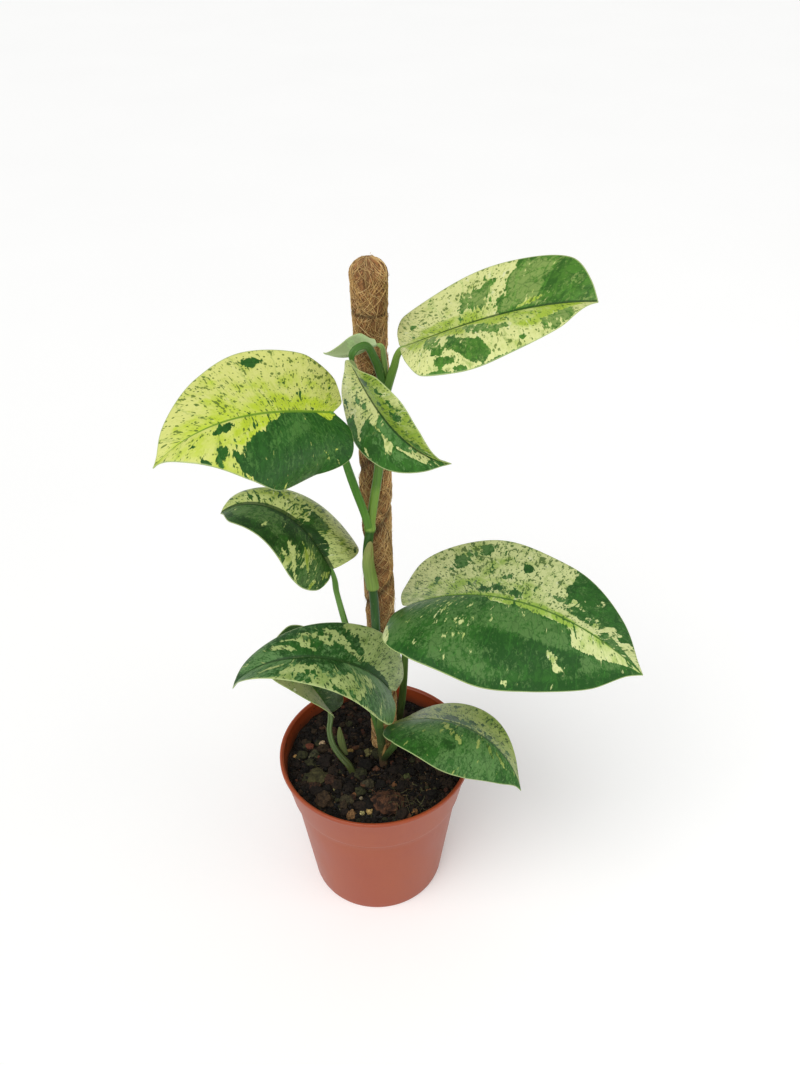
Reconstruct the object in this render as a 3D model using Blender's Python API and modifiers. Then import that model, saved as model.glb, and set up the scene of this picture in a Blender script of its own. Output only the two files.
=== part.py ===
"""Potted satin pothos on a coir pole: the construction, at real size.

Run with: blender --background --python part.py
Metres, +Z up. The origin is the middle of the pot's flat underside, and the photograph looks along +Y.
"""

import math
import random
from dataclasses import dataclass

import bmesh
import bpy
import numpy as np
from mathutils import Matrix, Vector, noise

MM = 0.001
MERGE = 0.00001
CLEAR = 0.3  # gap between touching meshes, in millimetres like every size below

# Pot
POT_HEIGHT = 105.0
RIM_RADIUS = 60.0
RIM_DEPTH = 2.8
WALL = 1.6
FLOOR = 2.0
COLLAR_HEIGHT = 28.5
COLLAR_FOOT_RADIUS = 54.0
COLLAR_STEP = 1.5
BASE_RADIUS = 42.5
POT_STEPS = 40
DRAIN_HOLES = 8
DRAIN_RADIUS = 4.0
DRAIN_CIRCLE = 29.0

# Soil
SOIL_TOP = 94.0
SOIL_MOUND = 2.5
SOIL_RELIEF = 1.3
SOIL_RINGS = 8
CHIP_COUNT = 24
CHIP_SEED = 7
CHIP_SINK = 0.4
LUMP_PLACE = (6.0, -37.0)
LUMP_SIZE = (8.5, 6.5, 5.5)

# Coir pole
POLE_FOOT = (6.2, 12.0)
POLE_LEAN = (-0.0085, -0.0092)
POLE_TOP = 419.0
WRAP_FOOT = 66.0
WRAP_RADIUS = 8.0
WRAP_HEAD_RADIUS = 8.9
WRAP_HEAD = 26.0
PINCH_PITCH = 45.0
PINCH_DEPTH = 0.75
WRAP_SIDES = 16
STICK_RADIUS = 4.0
STICK_TOP = 402.0

# Plant
BLADE_THICKNESS = 0.8
STEM_RADIUS = 2.6
PETIOLE_RADIUS = 2.1
HOLE_CLEARANCE = 0.35
STEM_DEPTH = 32.0


@dataclass(frozen=True)
class Blade:
    """One leaf blade. Lengths in millimetres, angles and bends in degrees over the whole length.

    heading 0 points at the camera and 90 to its right; pairs hold the value at the base and at the tip.
    """

    name: str
    base: tuple
    heading: float
    rise: float
    roll: float
    length: float
    half_left: float
    half_right: float
    lobe: float = 0.08
    widest: float = 0.30
    fullness: float = 0.0
    droop: float = 15.0
    droop_gain: float = 40.0
    sweep: float = 0.0
    twist: float = 0.0
    fold_left: tuple = (15.0, 15.0)
    fold_right: tuple = (15.0, 15.0)
    curl_left: tuple = (-30.0, -30.0)
    curl_right: tuple = (-30.0, -30.0)


BLADES = (
    Blade(
        name="leaf_top",
        base=(18.5, -12.0, 383.0), heading=95, rise=19, roll=-2,
        length=91, half_left=37, half_right=36.5,
        lobe=0.02, widest=0.29, fullness=0.12,
        droop=-11, droop_gain=41, sweep=-29, twist=4,
        fold_left=(-13, 36), fold_right=(26, 14),
        curl_left=(26, -10), curl_right=(-60, -55),
    ),
    Blade(
        name="leaf_upper_left",
        base=(-14.2, -40.0, 365.5), heading=-49, rise=23, roll=-35,
        length=91.5, half_left=36, half_right=37,
        lobe=0.16, widest=0.32, fullness=-0.08,
        droop=8, droop_gain=118, sweep=-4, twist=40,
        fold_left=(-23, 6), fold_right=(-15, 22),
        curl_left=(-71, -83), curl_right=(30, -20),
    ),
    Blade(
        name="leaf_centre",
        base=(-5.5, -18.0, 380.5), heading=53, rise=-58, roll=99,
        length=69, half_left=27, half_right=26,
        lobe=0.01, widest=0.39, fullness=-0.08,
        droop=-20, droop_gain=125, sweep=29, twist=-6,
        fold_left=(48, 43), fold_right=(-5, 24),
        curl_left=(-47, -71), curl_right=(-33, 44),
    ),
    Blade(
        name="leaf_young",
        base=(6.5, -7.4, 383.2), heading=-86, rise=-22, roll=63,
        length=26.6, half_left=8.4, half_right=6.5,
        lobe=0.09, widest=0.27, fullness=-0.03,
        droop=-5, droop_gain=-77, sweep=1, twist=-16,
        fold_left=(46, 0), fold_right=(37, 0),
        curl_left=(11, -25), curl_right=(-2, -18),
    ),
    Blade(
        name="leaf_mid_left",
        base=(-20.4, -14.0, 257.5), heading=-137, rise=54, roll=32,
        length=76, half_left=30.5, half_right=30.5,
        lobe=0.01, widest=0.18, fullness=0.15,
        droop=16, droop_gain=172, sweep=27, twist=-10,
        fold_left=(2, 10), fold_right=(41, 20),
        curl_left=(-35, -19), curl_right=(-50, -103),
    ),
    Blade(
        name="leaf_right",
        base=(21.4, -19.8, 236.5), heading=86, rise=27, roll=-17,
        length=137, half_left=55, half_right=55.5,
        lobe=0.08, widest=0.28, fullness=0.01,
        droop=92, droop_gain=-45, sweep=-20, twist=40,
        fold_left=(-12, -15), fold_right=(19, -19),
        curl_left=(40, -10), curl_right=(-64, -38),
    ),
    Blade(
        name="leaf_low_left",
        base=(8.8, -32.8, 186.7), heading=-53, rise=66, roll=-46,
        length=110.5, half_left=24.5, half_right=28.5,
        lobe=0.14, widest=0.18, fullness=-0.08,
        droop=92, droop_gain=88, sweep=12, twist=11,
        fold_left=(15, 38), fold_right=(12, 12),
        curl_left=(-34, -35), curl_right=(-6, -96),
    ),
    Blade(
        name="leaf_low_back",
        base=(-27.6, 10.5, 126.7), heading=-137, rise=47, roll=47,
        length=60.3, half_left=22.5, half_right=32.5,
        lobe=0.03, widest=0.31, fullness=0.25,
        droop=10, droop_gain=30, sweep=40, twist=-37,
        fold_left=(25, 8), fold_right=(19, 40),
        curl_left=(-11, -7), curl_right=(-24, -11),
    ),
    Blade(
        name="leaf_low_right",
        base=(13.8, -24.0, 151.0), heading=91, rise=20, roll=-25,
        length=92.5, half_left=37, half_right=37,
        lobe=0.06, widest=0.25, fullness=-0.08,
        droop=85, droop_gain=26, sweep=-22, twist=27,
        fold_left=(-12, -28), fold_right=(26, -25),
        curl_left=(-11, 51), curl_right=(-49, -60),
    ),
)

# Stem routes, each a short list of points from the root end up
VINE_ROUTE = ((4.8, -5.4, 98), (4.2, -5.0, 110), (2.8, -4.2, 132), (2.6, -3.6, 162),
              (2.5, -3.2, 192), (2.4, -3.0, 212), (1.3, -3.0, 236), (-1.2, -3.4, 256), (0.8, -3.2, 276),
              (3.8, -3.0, 297), (6.0, -3.2, 312), (7.8, -3.2, 335), (10.2, -3.4, 357))
NODE_HEIGHTS = (276.0, 357.0)
PETIOLE_ROUTES = {
    "leaf_top": ((10.2, -3.4, 354), (11.6, -5.6, 361), (14.2, -8.6, 371.5), (17.6, -11.4, 381.6)),
    "leaf_upper_left": ((0.8, -3.2, 274), (-1.6, -6.5, 287), (-5.6, -13.5, 306), (-10.2, -24.0, 331),
                        (-12.9, -33.5, 351), (-14.0, -38.6, 362.6)),
    "leaf_centre": ((10.2, -3.4, 354), (8.6, -5.2, 364), (5.4, -8.4, 376), (0.6, -12.6, 385.0),
                    (-3.6, -16.2, 384.6), (-5.3, -17.6, 382.2)),
    "leaf_young": ((10.2, -3.4, 356), (10.0, -4.6, 366), (9.6, -6.0, 375), (8.0, -7.2, 382.3)),
    "leaf_mid_left": ((3.4, -4.6, 120), (-0.4, -3.4, 140), (-7.0, -1.8, 172), (-14.2, -2.8, 208),
                      (-18.4, -7.0, 236), (-20.3, -13.5, 256.6)),
    "leaf_low_left": ((3.0, -4.4, 128), (4.2, -10.0, 143), (6.6, -20.0, 163), (8.6, -30.6, 183.6)),
    "leaf_low_right": ((4.6, -5.2, 100), (7.2, -9.0, 109), (11.6, -14.8, 123), (13.3, -20.2, 138),
                       (13.6, -23.4, 148.2)),
}
BUD_ROUTE = ((5.2, -6.6, 104), (6.0, -8.2, 111), (6.6, -8.8, 117))
RIGHT_ROUTE = ((15.8, 25.0, 98), (16.2, 23.6, 108), (17.6, 18.5, 126), (18.8, 10.0, 156),
               (19.4, 0.0, 188), (20.4, -11.5, 216), (21.3, -18.6, 233.4))
LEFT_ROUTE = ((-14.6, -12.6, 98), (-16.4, -11.8, 103), (-21.0, -8.6, 107.5), (-26.2, -3.0, 113.0),
              (-28.2, 3.4, 119.2), (-27.5, 9.9, 126.0))

# Sheaths
STEM_SHEATH_SPAN = (236.0, 270.0)
STEM_SHEATH_RADIUS = 3.4
LEFT_SHEATH_ROUTE = ((-18.2, -6.5, 106.5), (-20.4, -4.5, 113), (-21.4, -2.8, 120), (-21.6, -2.2, 127))
LEFT_SHEATH_WIDTH = 4.2
SHEATH_THICKNESS = 0.7


@dataclass(frozen=True)
class Finish:
    """Colour, roughness and metallic value of one material."""

    name: str
    colour: tuple
    roughness: float
    metallic: float = 0.0


TERRACOTTA = Finish("terracotta_plastic", (0.45, 0.13, 0.06), 0.55)
SOIL_DARK = Finish("dark_soil", (0.03, 0.022, 0.016), 0.95)
COIR = Finish("coir_fibre", (0.30, 0.17, 0.08), 0.9)
WOOD = Finish("stick_wood", (0.45, 0.30, 0.16), 0.7)
STEM_GREEN = Finish("stem_green", (0.10, 0.26, 0.05), 0.45)
SHEATH_GREEN = Finish("sheath_green", (0.40, 0.50, 0.18), 0.6)
LEAF_GREENS = {
    "leaf_top": Finish("leaf_top_green", (0.45, 0.58, 0.16), 0.4),
    "leaf_upper_left": Finish("leaf_upper_left_green", (0.40, 0.55, 0.14), 0.4),
    "leaf_centre": Finish("leaf_centre_green", (0.36, 0.50, 0.15), 0.4),
    "leaf_young": Finish("leaf_young_green", (0.34, 0.52, 0.22), 0.45),
    "leaf_mid_left": Finish("leaf_mid_left_green", (0.20, 0.36, 0.09), 0.4),
    "leaf_right": Finish("leaf_right_green", (0.24, 0.42, 0.12), 0.4),
    "leaf_low_left": Finish("leaf_low_left_green", (0.15, 0.34, 0.10), 0.4),
    "leaf_low_back": Finish("leaf_low_back_green", (0.20, 0.33, 0.10), 0.45),
    "leaf_low_right": Finish("leaf_low_right_green", (0.16, 0.33, 0.10), 0.4),
}


def clear_scene():
    """Remove the objects of the start-up scene."""
    for thing in list(bpy.data.objects):
        bpy.data.objects.remove(thing, do_unlink=True)


def new_collection(name):
    """Return a new collection linked to the scene."""
    collection = bpy.data.collections.new(name)
    bpy.context.scene.collection.children.link(collection)
    return collection


def principled(finish):
    """Return a Principled material for a finish, made once."""
    material = bpy.data.materials.get(finish.name)
    if material:
        return material
    material = bpy.data.materials.new(finish.name)
    material.use_nodes = True
    shader = material.node_tree.nodes["Principled BSDF"]
    shader.inputs["Base Color"].default_value = (*finish.colour, 1.0)
    shader.inputs["Roughness"].default_value = finish.roughness
    shader.inputs["Metallic"].default_value = finish.metallic
    material.diffuse_color = (*finish.colour, 1.0)
    return material


def link(name, mesh, collection, finish=None):
    """Return a new object for a mesh, in a collection, with its material."""
    thing = bpy.data.objects.new(name, mesh)
    collection.objects.link(thing)
    if finish:
        mesh.materials.clear()
        mesh.materials.append(principled(finish))
    return thing


def as_cutter(thing):
    """Mark an object as a cutter, which the build leaves out."""
    thing.hide_render = True
    thing.display_type = "WIRE"
    return thing


def smooth(thing, angle=40.0):
    """Shade an object smooth, with edges above the angle kept sharp."""
    thing.data.shade_smooth()
    thing.data.set_sharp_from_angle(angle=math.radians(angle))


def freeze(thing):
    """Apply an object's modifiers, or turn a curve into a mesh with welded caps."""
    evaluated = thing.evaluated_get(bpy.context.evaluated_depsgraph_get())
    mesh = bpy.data.meshes.new_from_object(evaluated)
    work = bmesh.new()
    work.from_mesh(mesh)
    bmesh.ops.remove_doubles(work, verts=work.verts, dist=MERGE)
    bmesh.ops.recalc_face_normals(work, faces=work.faces)
    work.to_mesh(mesh)
    work.free()
    frozen = bpy.data.objects.new(thing.name + "_solid", mesh)
    frozen.matrix_world = thing.matrix_world.copy()
    thing.users_collection[0].objects.link(frozen)
    name = thing.name
    bpy.data.objects.remove(thing, do_unlink=True)
    frozen.name = name
    return frozen


def turned(name, profile, collection, steps=POT_STEPS):
    """Return a solid of revolution from a profile of (radius, height) in millimetres."""
    mesh = bpy.data.meshes.new(name)
    points = [(radius * MM, 0.0, height * MM) for radius, height in profile]
    edges = [(index, index + 1) for index in range(len(points) - 1)]
    mesh.from_pydata(points, edges, [])
    thing = link(name, mesh, collection)
    screw = thing.modifiers.new("turn", "SCREW")
    screw.angle = math.tau
    screw.steps = steps
    screw.render_steps = steps
    screw.use_merge_vertices = True
    screw.merge_threshold = MERGE
    screw.use_normal_calculate = True
    return thing


def boolean(thing, cutter, operation="DIFFERENCE", solver="EXACT"):
    """Add a Boolean modifier that uses one other object."""
    modifier = thing.modifiers.new(operation.lower(), "BOOLEAN")
    modifier.operation = operation
    modifier.solver = solver
    modifier.object = cutter
    return modifier


def unite(name, pieces, collection, finish):
    """Fuse solids into one object by one union on a collection, then remove them."""
    first, rest = pieces[0], pieces[1:]
    group = new_collection(name + "_pieces")
    for piece in rest:
        for owner in list(piece.users_collection):
            owner.objects.unlink(piece)
        group.objects.link(piece)
    union = first.modifiers.new("union", "BOOLEAN")
    union.operation = "UNION"
    union.solver = "EXACT"
    union.operand_type = "COLLECTION"
    union.collection = group
    fused = freeze(first)
    for piece in rest:
        bpy.data.objects.remove(piece, do_unlink=True)
    bpy.data.collections.remove(group)
    fused.name = name
    fused.data.materials.clear()
    fused.data.materials.append(principled(finish))
    for owner in list(fused.users_collection):
        owner.objects.unlink(fused)
    collection.objects.link(fused)
    smooth(fused, 55.0)
    return fused


def eased(places, values, wanted):
    """Return values on a smooth curve through the given points that never overshoots them."""
    places, values = np.asarray(places, float), np.asarray(values, float)
    wanted = np.asarray(wanted, float)
    gaps = np.diff(places)
    rates = np.diff(values) / gaps
    slopes = np.zeros_like(values)
    for index in range(1, len(values) - 1):
        before, after = rates[index - 1], rates[index]
        if before * after > 0.0:
            near, far = 2 * gaps[index] + gaps[index - 1], gaps[index] + 2 * gaps[index - 1]
            slopes[index] = (near + far) / (near / before + far / after)
    slopes[0], slopes[-1] = rates[0], rates[-1]
    span = np.clip(np.searchsorted(places, wanted) - 1, 0, len(gaps) - 1)
    share = (wanted - places[span]) / gaps[span]
    start, end = values[span], values[span + 1]
    bend = (2 * share**3 - 3 * share**2 + 1) * start + (3 * share**2 - 2 * share**3) * end
    lean = (share**3 - 2 * share**2 + share) * slopes[span]
    lean += (share**3 - share**2) * slopes[span + 1]
    return bend + lean * gaps[span]


def through(route, spacing):
    """Return evenly spaced points on a smooth curve through a route's points."""
    route = np.asarray(route, float)
    steps = np.linalg.norm(np.diff(route, axis=0), axis=1)
    reach = np.concatenate([[0.0], np.cumsum(steps)])
    tangents = np.gradient(route, reach, axis=0)
    places = np.linspace(0.0, reach[-1], max(3, round(reach[-1] / spacing) + 1))
    span = np.clip(np.searchsorted(reach, places) - 1, 0, len(steps) - 1)
    share = ((places - reach[span]) / steps[span])[:, None]
    length = steps[span][:, None]
    bend = (2 * share**3 - 3 * share**2 + 1) * route[span]
    bend += (3 * share**2 - 2 * share**3) * route[span + 1]
    lean = (share**3 - 2 * share**2 + share) * tangents[span]
    lean += (share**3 - share**2) * tangents[span + 1]
    return bend + lean * length


def rooted(route):
    """Return a stem's route with a straight length added below it, for its hole in the soil."""
    x, y, z = route[0]
    return [(x, y, z - STEM_DEPTH), (x, y, z - 0.3 * STEM_DEPTH)] + list(route)


def tube(name, route, radii, collection, spacing=9.0):
    """Return a closed tube along a route, its radius eased from the first to the last of radii."""
    points = through(route, spacing)
    curve = bpy.data.curves.new(name, "CURVE")
    curve.dimensions = "3D"
    curve.bevel_depth = MM
    curve.bevel_resolution = 2
    curve.use_fill_caps = True
    spline = curve.splines.new("POLY")
    spline.points.add(len(points) - 1)
    widths = np.interp(np.linspace(0, 1, len(points)), np.linspace(0, 1, len(radii)), radii)
    for knot, point, width in zip(spline.points, points, widths):
        knot.co = (*(point * MM), 1.0)
        knot.radius = width
    thing = bpy.data.objects.new(name, curve)
    collection.objects.link(thing)
    bpy.context.view_layer.update()
    return freeze(thing)


def ball(name, centre, radii, collection, levels=2):
    """Return an ico sphere stretched to three radii, in millimetres."""
    work = bmesh.new()
    bmesh.ops.create_icosphere(work, subdivisions=levels, radius=1.0)
    bmesh.ops.scale(work, vec=Vector(radii) * MM, verts=work.verts)
    bmesh.ops.translate(work, vec=Vector(centre) * MM, verts=work.verts)
    mesh = bpy.data.meshes.new(name)
    work.to_mesh(mesh)
    work.free()
    return link(name, mesh, collection)


def rod(name, foot, head, radius, collection, sides=WRAP_SIDES):
    """Return a cylinder from one point to another, in millimetres."""
    foot, head = Vector(foot), Vector(head)
    axis = head - foot
    work = bmesh.new()
    bmesh.ops.create_cone(work, cap_ends=True, segments=sides, radius1=radius * MM, radius2=radius * MM,
                          depth=axis.length * MM)
    turn = Vector((0, 0, 1)).rotation_difference(axis).to_matrix().to_4x4()
    bmesh.ops.transform(work, matrix=Matrix.Translation((foot + head) / 2 * MM) @ turn, verts=work.verts)
    mesh = bpy.data.meshes.new(name)
    work.to_mesh(mesh)
    work.free()
    return link(name, mesh, collection)


def wall_radius(height):
    """Return the pot's outer radius at a height, without the rim's lip."""
    step = POT_HEIGHT - COLLAR_HEIGHT
    if height >= step:
        share = (height - step) / (COLLAR_HEIGHT - RIM_DEPTH)
        return COLLAR_FOOT_RADIUS + share * (RIM_RADIUS - 1.2 - COLLAR_FOOT_RADIUS)
    return BASE_RADIUS + (COLLAR_FOOT_RADIUS - COLLAR_STEP - BASE_RADIUS) * height / step


def inner_profile(clearance=0.0, top=POT_HEIGHT - 1.0):
    """Return the inside of the pot from its floor's edge up, drawn in by a clearance."""
    step = POT_HEIGHT - COLLAR_HEIGHT
    inset = WALL + clearance
    return [
        (wall_radius(FLOOR) - inset, FLOOR + clearance),
        (wall_radius(step - 1.5) - inset, step - 1.5),
        (wall_radius(step + 1.0) - inset, step + 1.0),
        (wall_radius(top) - inset, top),
    ]


def build_pot(parts, cutters):
    """Turn the pot with its collar and rim, and cut the drain holes."""
    step = POT_HEIGHT - COLLAR_HEIGHT
    under_rim = POT_HEIGHT - RIM_DEPTH
    profile = [(0.0, FLOOR)] + inner_profile()
    profile += [
        (RIM_RADIUS - 1.7, POT_HEIGHT - 0.2),
        (RIM_RADIUS - 1.2, POT_HEIGHT),
        (RIM_RADIUS - 0.5, POT_HEIGHT - 0.1),
        (RIM_RADIUS, POT_HEIGHT - 0.7),
        (RIM_RADIUS, under_rim + 0.4),
        (wall_radius(under_rim), under_rim - 0.3),
        (wall_radius(step) + 0.1, step + 0.5),
        (wall_radius(step) - 0.4, step),
        (wall_radius(step - 0.4) + 0.2, step - 0.4),
        (wall_radius(1.0), 1.0),
        (BASE_RADIUS - 0.8, 0.0),
        (0.0, 0.0),
    ]
    pot = freeze(turned("pot", profile, parts))
    for index in range(DRAIN_HOLES):
        angle = math.tau * (index + 0.5) / DRAIN_HOLES
        x, y = DRAIN_CIRCLE * math.cos(angle), DRAIN_CIRCLE * math.sin(angle)
        drill = rod(f"drain_{index}", (x, y, -3.0), (x, y, FLOOR + 3.0), DRAIN_RADIUS, cutters, 12)
        boolean(pot, as_cutter(drill))
    pot.data.materials.append(principled(TERRACOTTA))
    smooth(pot)
    return pot


def pole_centre(height):
    """Return the pole's middle at a height, in millimetres."""
    rise = height - SOIL_TOP
    return Vector((POLE_FOOT[0] + POLE_LEAN[0] * rise, POLE_FOOT[1] + POLE_LEAN[1] * rise, height))


def soil_height(x, y):
    """Return the height of the soil's surface at a place, in millimetres."""
    spread = min(1.0, math.hypot(x, y) / RIM_RADIUS)
    mound = SOIL_MOUND * (1.0 - spread**2) * (1.0 - 0.4 * y / RIM_RADIUS)
    bumps = noise.noise(Vector((x / 9.0, y / 9.0, 0.4)))
    bumps += 0.5 * noise.noise(Vector((x / 4.0, y / 4.0, 2.1)))
    return SOIL_TOP + mound + SOIL_RELIEF * bumps


def stem_feet():
    """Return the place where each stem leaves the soil, and its radius."""
    return (
        ("vine", VINE_ROUTE[0], STEM_RADIUS),
        ("right", RIGHT_ROUTE[0], PETIOLE_RADIUS + 0.3),
        ("left", LEFT_ROUTE[0], PETIOLE_RADIUS + 0.1),
    )


def soil_chips(parts):
    """Return bark chips and one large lump, sunk half into the soil's surface."""
    draw = random.Random(CHIP_SEED)
    keep_off = [(place[0], place[1], 8.0) for _, place, _ in stem_feet()]
    keep_off += [(place[0], place[1], 6.0) for place in LEFT_ROUTE[1:4]]
    keep_off.append((POLE_FOOT[0], POLE_FOOT[1], WRAP_HEAD_RADIUS + 7.0))
    keep_off.append((LUMP_PLACE[0], LUMP_PLACE[1], 13.0))
    chips = []
    while len(chips) < CHIP_COUNT:
        angle, radius = draw.uniform(0, math.tau), 48.0 * math.sqrt(draw.random())
        x, y = radius * math.cos(angle), radius * math.sin(angle)
        if any(math.hypot(x - px, y - py) < gap for px, py, gap in keep_off):
            continue
        keep_off.append((x, y, 6.5))
        size = draw.uniform(1.6, 3.2)
        chip = ball(f"chip_{len(chips)}", (0, 0, 0), (size, size * 0.7, size * 0.45), parts, 1)
        turn = Matrix.Rotation(draw.uniform(0, math.tau), 4, "Z")
        turn = turn @ Matrix.Rotation(draw.uniform(-0.5, 0.5), 4, "X")
        place = Vector((x, y, soil_height(x, y) - CHIP_SINK)) * MM
        chip.data.transform(Matrix.Translation(place) @ turn)
        chips.append(chip)
    x, y = LUMP_PLACE
    lump = ball("lump", (x, y, soil_height(x, y) + 1.0), LUMP_SIZE, parts)
    for corner in lump.data.vertices:
        corner.co += corner.normal * 0.9 * MM * noise.noise(corner.co / MM / 3.5)
    return chips + [lump]


def build_soil(parts, cutters):
    """Fill the pot with soil, with its relief, its chips, and plain holes for the pole and the stems."""
    wall = inner_profile(CLEAR, SOIL_TOP - 1.0)
    reach = wall[-1][0]
    top = [(reach * index / SOIL_RINGS, SOIL_TOP) for index in range(SOIL_RINGS + 1)]
    profile = top + wall[::-1] + [(0.0, FLOOR + CLEAR)]
    soil = freeze(turned("soil", profile, parts))
    for corner in soil.data.vertices:
        x, y, z = corner.co / MM
        if z > SOIL_TOP - 0.01:
            corner.co.z = soil_height(x, y) * MM
    soil = unite("soil", [soil] + soil_chips(parts), parts, SOIL_DARK)
    for name, (x, y, z), radius in stem_feet():
        foot, mouth = (x, y, z - STEM_DEPTH - CLEAR), (x, y, z + 12.0)
        boolean(soil, as_cutter(rod(f"{name}_hole", foot, mouth, radius + HOLE_CLEARANCE, cutters, 16)))
    wide = rod("wrap_hole", pole_centre(WRAP_FOOT - CLEAR), pole_centre(SOIL_TOP + 20.0),
               WRAP_RADIUS + HOLE_CLEARANCE, cutters, 24)
    narrow = rod("stick_hole", pole_centre(0.5), pole_centre(WRAP_FOOT + 2.0),
                 STICK_RADIUS + HOLE_CLEARANCE, cutters, 16)
    boolean(soil, as_cutter(wide))
    boolean(soil, as_cutter(narrow))
    return soil


def wrap_radius(height, angle):
    """Return the coir wrap's radius: straight in the soil, pinched by its winding, wider at the head."""
    rise = height - SOIL_TOP - 8.0
    turn = (math.tau * rise / PINCH_PITCH - angle) % math.tau
    pinch = math.exp(-((min(turn, math.tau - turn) / 0.55) ** 2))
    grown = min(1.0, max(0.0, rise / 10.0))
    head = min(1.0, max(0.0, (height - POLE_TOP + WRAP_HEAD + 8.0) / 8.0))
    swell = 0.35 * math.sin(height / 11.0 + 2.0 * math.sin(angle)) * grown
    body = WRAP_RADIUS + (swell - PINCH_DEPTH * pinch * (1.0 - head)) * grown
    return body + (WRAP_HEAD_RADIUS - WRAP_RADIUS) * head


def build_pole(parts, cutters):
    """Build the coir wrap around its wooden stick."""
    heights = [WRAP_FOOT] + list(np.arange(SOIL_TOP + 2.0, POLE_TOP - WRAP_HEAD, 7.5))
    dome_foot = POLE_TOP - WRAP_HEAD_RADIUS
    heights += [POLE_TOP - WRAP_HEAD + 4.0, POLE_TOP - WRAP_HEAD + 10.0, dome_foot]
    profile = [(0.0, POLE_TOP)]
    profile += [(WRAP_HEAD_RADIUS * math.sin(math.radians(tilt)),
                 dome_foot + WRAP_HEAD_RADIUS * math.cos(math.radians(tilt))) for tilt in (25, 50, 72)]
    profile += [(WRAP_RADIUS, height) for height in reversed(heights)] + [(0.0, WRAP_FOOT)]
    wrap = freeze(turned("coir_wrap", profile, parts, WRAP_SIDES))
    for corner in wrap.data.vertices:
        x, y, z = corner.co / MM
        centre = pole_centre(z)
        if math.hypot(x, y) > 0.01 and z < dome_foot + 0.01:
            angle = math.atan2(y, x)
            radius = wrap_radius(z, angle)
            x, y = radius * math.cos(angle), radius * math.sin(angle)
        corner.co = Vector((centre.x + x, centre.y + y, z)) * MM
    bore = rod("stick_bore", pole_centre(WRAP_FOOT - 5.0), pole_centre(STICK_TOP + CLEAR),
               STICK_RADIUS + CLEAR, cutters, 16)
    boolean(wrap, as_cutter(bore))
    wrap.data.materials.append(principled(COIR))
    smooth(wrap, 60.0)
    stick = rod("pole_stick", pole_centre(FLOOR + CLEAR), pole_centre(STICK_TOP), STICK_RADIUS, parts, 16)
    stick.data.materials.append(principled(WOOD))
    smooth(stick)


def outline(blade, share):
    """Return how far along and how wide the margin is, from the base notch (0) to the tip (1)."""
    lobe, widest, full = blade.lobe, blade.widest, blade.fullness
    places = (0.0, 0.10, 0.22, 0.36, 0.50, 0.68, 0.83, 0.93, 1.0)
    along = (0.0, -0.75 * lobe, -lobe, 0.02, widest, widest + 0.55 * (0.855 - widest), 0.855, 0.955, 1.0)
    across = (0.0, 0.22, 0.55, 0.90, 1.0, 0.80 + 0.3 * full, 0.42 + full, 0.10 + 0.4 * full, 0.0)
    return eased(places, along, share), eased(places, across, share)


def turned_about(vector, axis, angle):
    """Return a vector turned about an axis."""
    return Matrix.Rotation(angle, 3, axis) @ vector


def midrib(blade, steps=30):
    """Return the midrib's points and its forward, side and up vectors, from base to tip."""
    heading, rise, roll = (math.radians(value) for value in (blade.heading, blade.rise, blade.roll))
    level = Vector((math.sin(heading), -math.cos(heading), 0.0))
    forward = level * math.cos(rise) + Vector((0.0, 0.0, math.sin(rise)))
    side = forward.cross(Vector((0, 0, 1))).normalized()
    up = side.cross(forward)
    side, up = turned_about(side, forward, roll), turned_about(up, forward, roll)
    point = Vector(blade.base)
    rows = [(point.copy(), forward.copy(), side.copy(), up.copy())]
    for index in range(steps):
        share = (index + 0.5) / steps
        bend = math.radians(blade.droop + blade.droop_gain * share) / steps
        sweep, twist = math.radians(blade.sweep) / steps, math.radians(blade.twist) / steps
        forward, up = turned_about(forward, side, -bend / 2), turned_about(up, side, -bend / 2)
        forward, side = turned_about(forward, up, sweep), turned_about(side, up, sweep)
        side, up = turned_about(side, forward, twist), turned_about(up, forward, twist)
        point = point + forward * (blade.length / steps)
        forward, up = turned_about(forward, side, -bend / 2), turned_about(up, side, -bend / 2)
        rows.append((point.copy(), forward.copy(), side.copy(), up.copy()))
    return [np.array([row[column] for row in rows]) for column in range(4)]


def blade_points(blade, rows, columns):
    """Return the blade's surface points for shares along the margin and across, -1 left to 1 right."""
    spine, forward, side, up = midrib(blade)
    last = len(spine) - 1
    along, across = outline(blade, rows)
    foot = rows**1.6
    spread = np.abs(columns)[None, :]
    left = (columns < 0)[None, :]
    places = foot[:, None] + (along - foot)[:, None] * spread
    half = np.where(left, blade.half_left, blade.half_right)
    width = half * across[:, None] * spread
    reach = np.clip(places, 0, 1)

    def mixed(pair_left, pair_right):
        from_left = pair_left[0] + (pair_left[1] - pair_left[0]) * reach
        from_right = pair_right[0] + (pair_right[1] - pair_right[0]) * reach
        return np.radians(np.where(left, from_left, from_right))

    fold = mixed(blade.fold_left, blade.fold_right)
    curl = mixed(blade.curl_left, blade.curl_right) / half
    curl = np.where(np.abs(curl) < 1e-5, 1e-5, curl)
    out = (np.sin(fold + curl * width) - np.sin(fold)) / curl
    lift = (np.cos(fold) - np.cos(fold + curl * width)) / curl
    out = np.where(left, -out, out)
    index = np.clip((reach * last).astype(int), 0, last - 1)
    part = (reach * last - index)[..., None]

    def along_spine(vectors):
        return vectors[index] * (1 - part) + vectors[index + 1] * part

    back = np.minimum(places, 0.0)[..., None] * blade.length
    sag = 0.5 * math.radians(blade.droop) / blade.length * back**2
    points = along_spine(spine) + along_spine(forward) * back - along_spine(up) * sag
    return points + along_spine(side) * out[..., None] + along_spine(up) * lift[..., None]


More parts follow.
